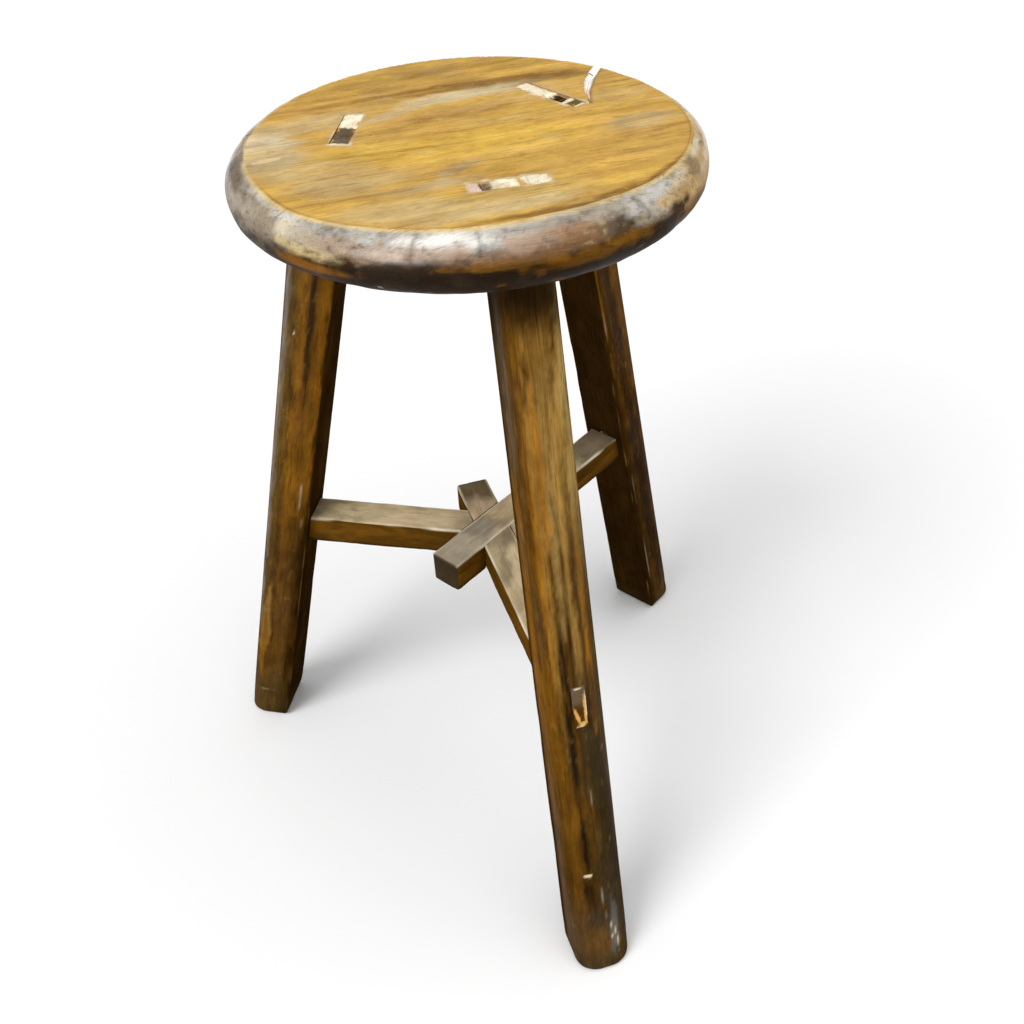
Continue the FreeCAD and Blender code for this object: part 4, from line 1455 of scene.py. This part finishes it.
def paint_bar(name, points):
    """Dusty top, amber sides, dark underside and grey end grain."""
    local = bar_local(name, points)
    bar = BARS[name]
    seed = 130 + 10 * LEG_NAMES.index(name)
    height = bar["height"]
    half = bar["half"]
    along = local[:, 0] / MM
    paint = Paint(len(points), UMBER)
    paint.over(0.5 * step(fractal(local, (30, 9, 9), 4, seed + 4), -0.1, 0.9), AMBER)
    streak = fractal(local, (45, 7, 7), 5, seed)
    paint.over(0.65 * step(streak, 0.0, 0.9), DARK_BROWN)
    paint.over(0.3 * step(-streak, 0.3, 1.0), ORANGE)
    low = 1.0 - step(local[:, 2], 1.0 * MM, 5.0 * MM)
    paint.over(0.7 * low, BLACK_BROWN)
    top = step(local[:, 2], height - 1.1 * MM, height - 0.5 * MM)
    dusty = Paint(len(points), DUSTY)
    cloud = fractal(local, (30, 16, 16), 5, seed + 1)
    dusty.over(0.6 * step(cloud, 0.1, 1.0), ROSY)
    dusty.over(0.5 * step(-cloud, 0.2, 1.0), GREY_BROWN)
    dusty.over(0.35 * step(fractal(local, (40, 5, 5), 4, seed + 2), 0.3, 1.1), GOLD)
    for bar_name, at, reach, tone, strength in BAR_TOP_STAINS:
        if bar_name == name:
            away = step(np.abs(along - at) + 9.0 * cloud, 0.5 * reach, 1.2 * reach)
            dusty.over(strength * (1.0 - away), tone)
    paint.over(top, dusty.tone)
    free_end = 1.0 - step(along, 1.2, 2.6)
    paint.over(free_end * 0.9, END_GREY)
    near_side = 1.0 - step(np.abs(half - np.abs(local[:, 1])), 0.7 * MM, 1.8 * MM)
    edge = near_side * step(local[:, 2], height - 2.0 * MM, height - 0.8 * MM)
    line = edge * step(noise(local, (18, 50, 50), seed + 3), -0.5, 0.4)
    paint.over(0.9 * line, CREAM)
    paint.bare = 0.4 * line
    paint.gloss = 0.3 + 0.3 * top + 0.12 * cloud
    tenon = along > bar["shoulder"] / MM - bar["start"] / MM + 6.0
    paint_tenon_end(local, paint, tenon)
    return paint


# Strokes of raw wood on a stretcher's tenon and wedge where they come out of the leg, and its pale rim:
# (across, level, half width, half height, tilt, colour, strength), in millimetres from the bar's middle
# and underside.
TENON_STROKES = [
    (3.5, 17.0, 0.95, 11.0, 0, RAW, 1.0), (-2.4, 13.0, 1.05, 8.0, 16, RAW, 1.0),
    (0.9, 6.2, 3.4, 1.9, 6, RAW, 1.0), (0.6, 4.6, 4.2, 0.45, 5, CREAM, 0.8),
    (4.35, 20.0, 0.3, 9.0, 0, CREAM, 0.8), (-1.0, 33.6, 3.2, 0.5, -8, CREAM, 0.8),
]


def paint_tenon_end(local, paint, share):
    """Grey-brown end grain with raw strokes where the finish has broken away."""
    across, level = local[:, 1] / MM, local[:, 2] / MM
    paint.over(share * 0.95, UMBER * 0.9)
    paint.over(share * 0.55 * step(level, 17.0, 24.0), GREY_BROWN)
    ragged = fractal(local, 2.2, 3, 160) * 0.35
    paint.stains_and_painted_light(across, level, TENON_STROKES, ragged, 0.35, share)
    paint.gloss = np.where(share, 0.3, paint.gloss)


def build_stretcher(name, upper_lap, lower_lap):
    """Stretcher lapped at the crossing and tenoned into its leg."""
    bar = BARS[name]
    leg_blank = tube("leg_blank", leg_rings(LEGS[name]))
    corners = turned_corners(bar["body"])
    piece = block("stretcher_" + name + "_worn", corners, edge=1.1 * MM, gap=1.5 * MM)
    wear_bar(name, piece)
    above = bar["high"] + CUT_PAST
    below = bar["low"] - CUT_PAST
    laps = {
        "right": [("left", below, upper_lap), ("front", below, upper_lap)],
        "front": [("right", upper_lap, above), ("left", below, lower_lap)],
        "left": [("right", upper_lap, above), ("front", lower_lap, above)],
    }
    cutters = [lap_cutter(*lap) for lap in laps[name]]
    cut(piece, cutters + [leg_blank])
    corners = stretched(stretched(bar["tenon"], 1, -JOINT_GAP, -JOINT_GAP), 0, -2 * MM, -END_GAP)
    tenon = block("bar_tenon_" + name, turned_corners(corners), edge=0.4 * MM, gap=0.6 * MM)
    join(piece, [tenon])
    points = mesh_points(piece)
    paint = paint_bar(name, points)
    finish_piece(piece, "stretcher_" + name, "stretcher_wood", paint, bar_local(name, points))

    corners = stretched(stretched(bar["wedge"], 1, -JOINT_GAP, -JOINT_GAP), 0, -1 * MM, -END_GAP)
    corners = turned_corners(corners)
    wedge = block("stretcher_wedge_" + name + "_worn", corners, edge=0.2 * MM, gap=0.6 * MM)
    points = mesh_points(wedge)
    paint = Paint(len(points), TAN)
    paint_tenon_end(bar_local(name, points), paint, np.ones(len(points), bool))
    finish_piece(wedge, "stretcher_wedge_" + name, "pale_wood", paint, bar_local(name, points))


# ---------------------------------------------------------------- building the stool

build_seat()
lap_height = BARS["right"]["height"] / 3.0
upper_lap_level = BARS["right"]["high"] - lap_height
lower_lap_level = BARS["right"]["low"] + lap_height
for leg_name in LEG_NAMES:
    build_leg(leg_name)
    build_seat_wedges(leg_name)
    build_stretcher(leg_name, upper_lap_level, lower_lap_level)


# ---------------------------------------------------------------- floor, light and camera

FLOOR_REACH = 8.0
WORLD_STRENGTH = 0.3
SENSOR_WIDTH = 36.0
VIEW_REACH = 50.0
# Name, azimuth, elevation and spread in degrees, and strength.
SUNS = [("key", -62.0, 46.0, 30.0, 1.75), ("overhead", 25.0, 72.0, 70.0, 1.45)]
CAMERA = {
    "target": (0.0177, 0.0457, 0.2491), "distance": 0.8517, "azimuth": -16.3, "elevation": 40.48,
    "roll": -3.09, "lens": 39.94,
}


def build_floor():
    """Plain pale floor."""
    corners = [(x * FLOOR_REACH, y * FLOOR_REACH, 0.0) for x, y in ((-1, -1), (1, -1), (1, 1), (-1, 1))]
    floor = add_object("floor", corners, [(0, 1, 2, 3)])
    material = bpy.data.materials.new("floor_white")
    material.use_nodes = True
    shader = material.node_tree.nodes["Principled BSDF"]
    shader.inputs["Base Color"].default_value = (0.93, 0.93, 0.93, 1.0)
    shader.inputs["Roughness"].default_value = 0.9
    shader.inputs["Specular IOR Level"].default_value = 0.1
    floor.data.materials.append(material)


def direction(azimuth, elevation):
    """Direction out from the stool; azimuth 0 is the front (-Y), and 90 the right (+X)."""
    turn, lift = math.radians(azimuth), math.radians(elevation)
    return Vector((math.sin(turn) * math.cos(lift), -math.cos(turn) * math.cos(lift), math.sin(lift)))


def add_soft_sun(name, azimuth, elevation, spread_angle, strength):
    """Broad far light that shines from a direction."""
    lamp = bpy.data.lights.new(name, "SUN")
    lamp.energy = strength
    lamp.angle = math.radians(spread_angle)
    made = bpy.data.objects.new(name, lamp)
    made.matrix_world = direction(azimuth, elevation).to_track_quat("Z", "Y").to_matrix().to_4x4()
    bpy.context.scene.collection.objects.link(made)


def add_world(strength):
    """Even pale surroundings."""
    world = bpy.data.worlds.new("studio")
    world.use_nodes = True
    background = world.node_tree.nodes["Background"]
    background.inputs["Color"].default_value = (1.0, 1.0, 1.0, 1.0)
    background.inputs["Strength"].default_value = strength
    bpy.context.scene.world = world


def add_camera(target, distance, azimuth, elevation, roll, lens):
    """Camera that looks down at a point, turned about its own axis by the roll."""
    turn, lean = math.radians(azimuth), math.radians(roll)
    back = direction(azimuth, elevation)
    level = Vector((math.cos(turn), math.sin(turn), 0.0))
    upright = back.cross(level)
    right = level * math.cos(lean) + upright * math.sin(lean)
    up = upright * math.cos(lean) - level * math.sin(lean)
    axes = Matrix((right, up, back)).transposed().to_4x4()
    data = bpy.data.cameras.new("camera")
    data.sensor_width = SENSOR_WIDTH
    data.lens = lens
    data.clip_end = VIEW_REACH
    camera = bpy.data.objects.new("camera", data)
    camera.matrix_world = Matrix.Translation(Vector(target) + back * distance) @ axes
    bpy.context.scene.collection.objects.link(camera)
    bpy.context.scene.camera = camera


build_floor()
add_world(WORLD_STRENGTH)
for sun in SUNS:
    add_soft_sun(*sun)
add_camera(**CAMERA)
view = bpy.context.scene.view_settings
view.view_transform = "Standard"
view.look = "None"
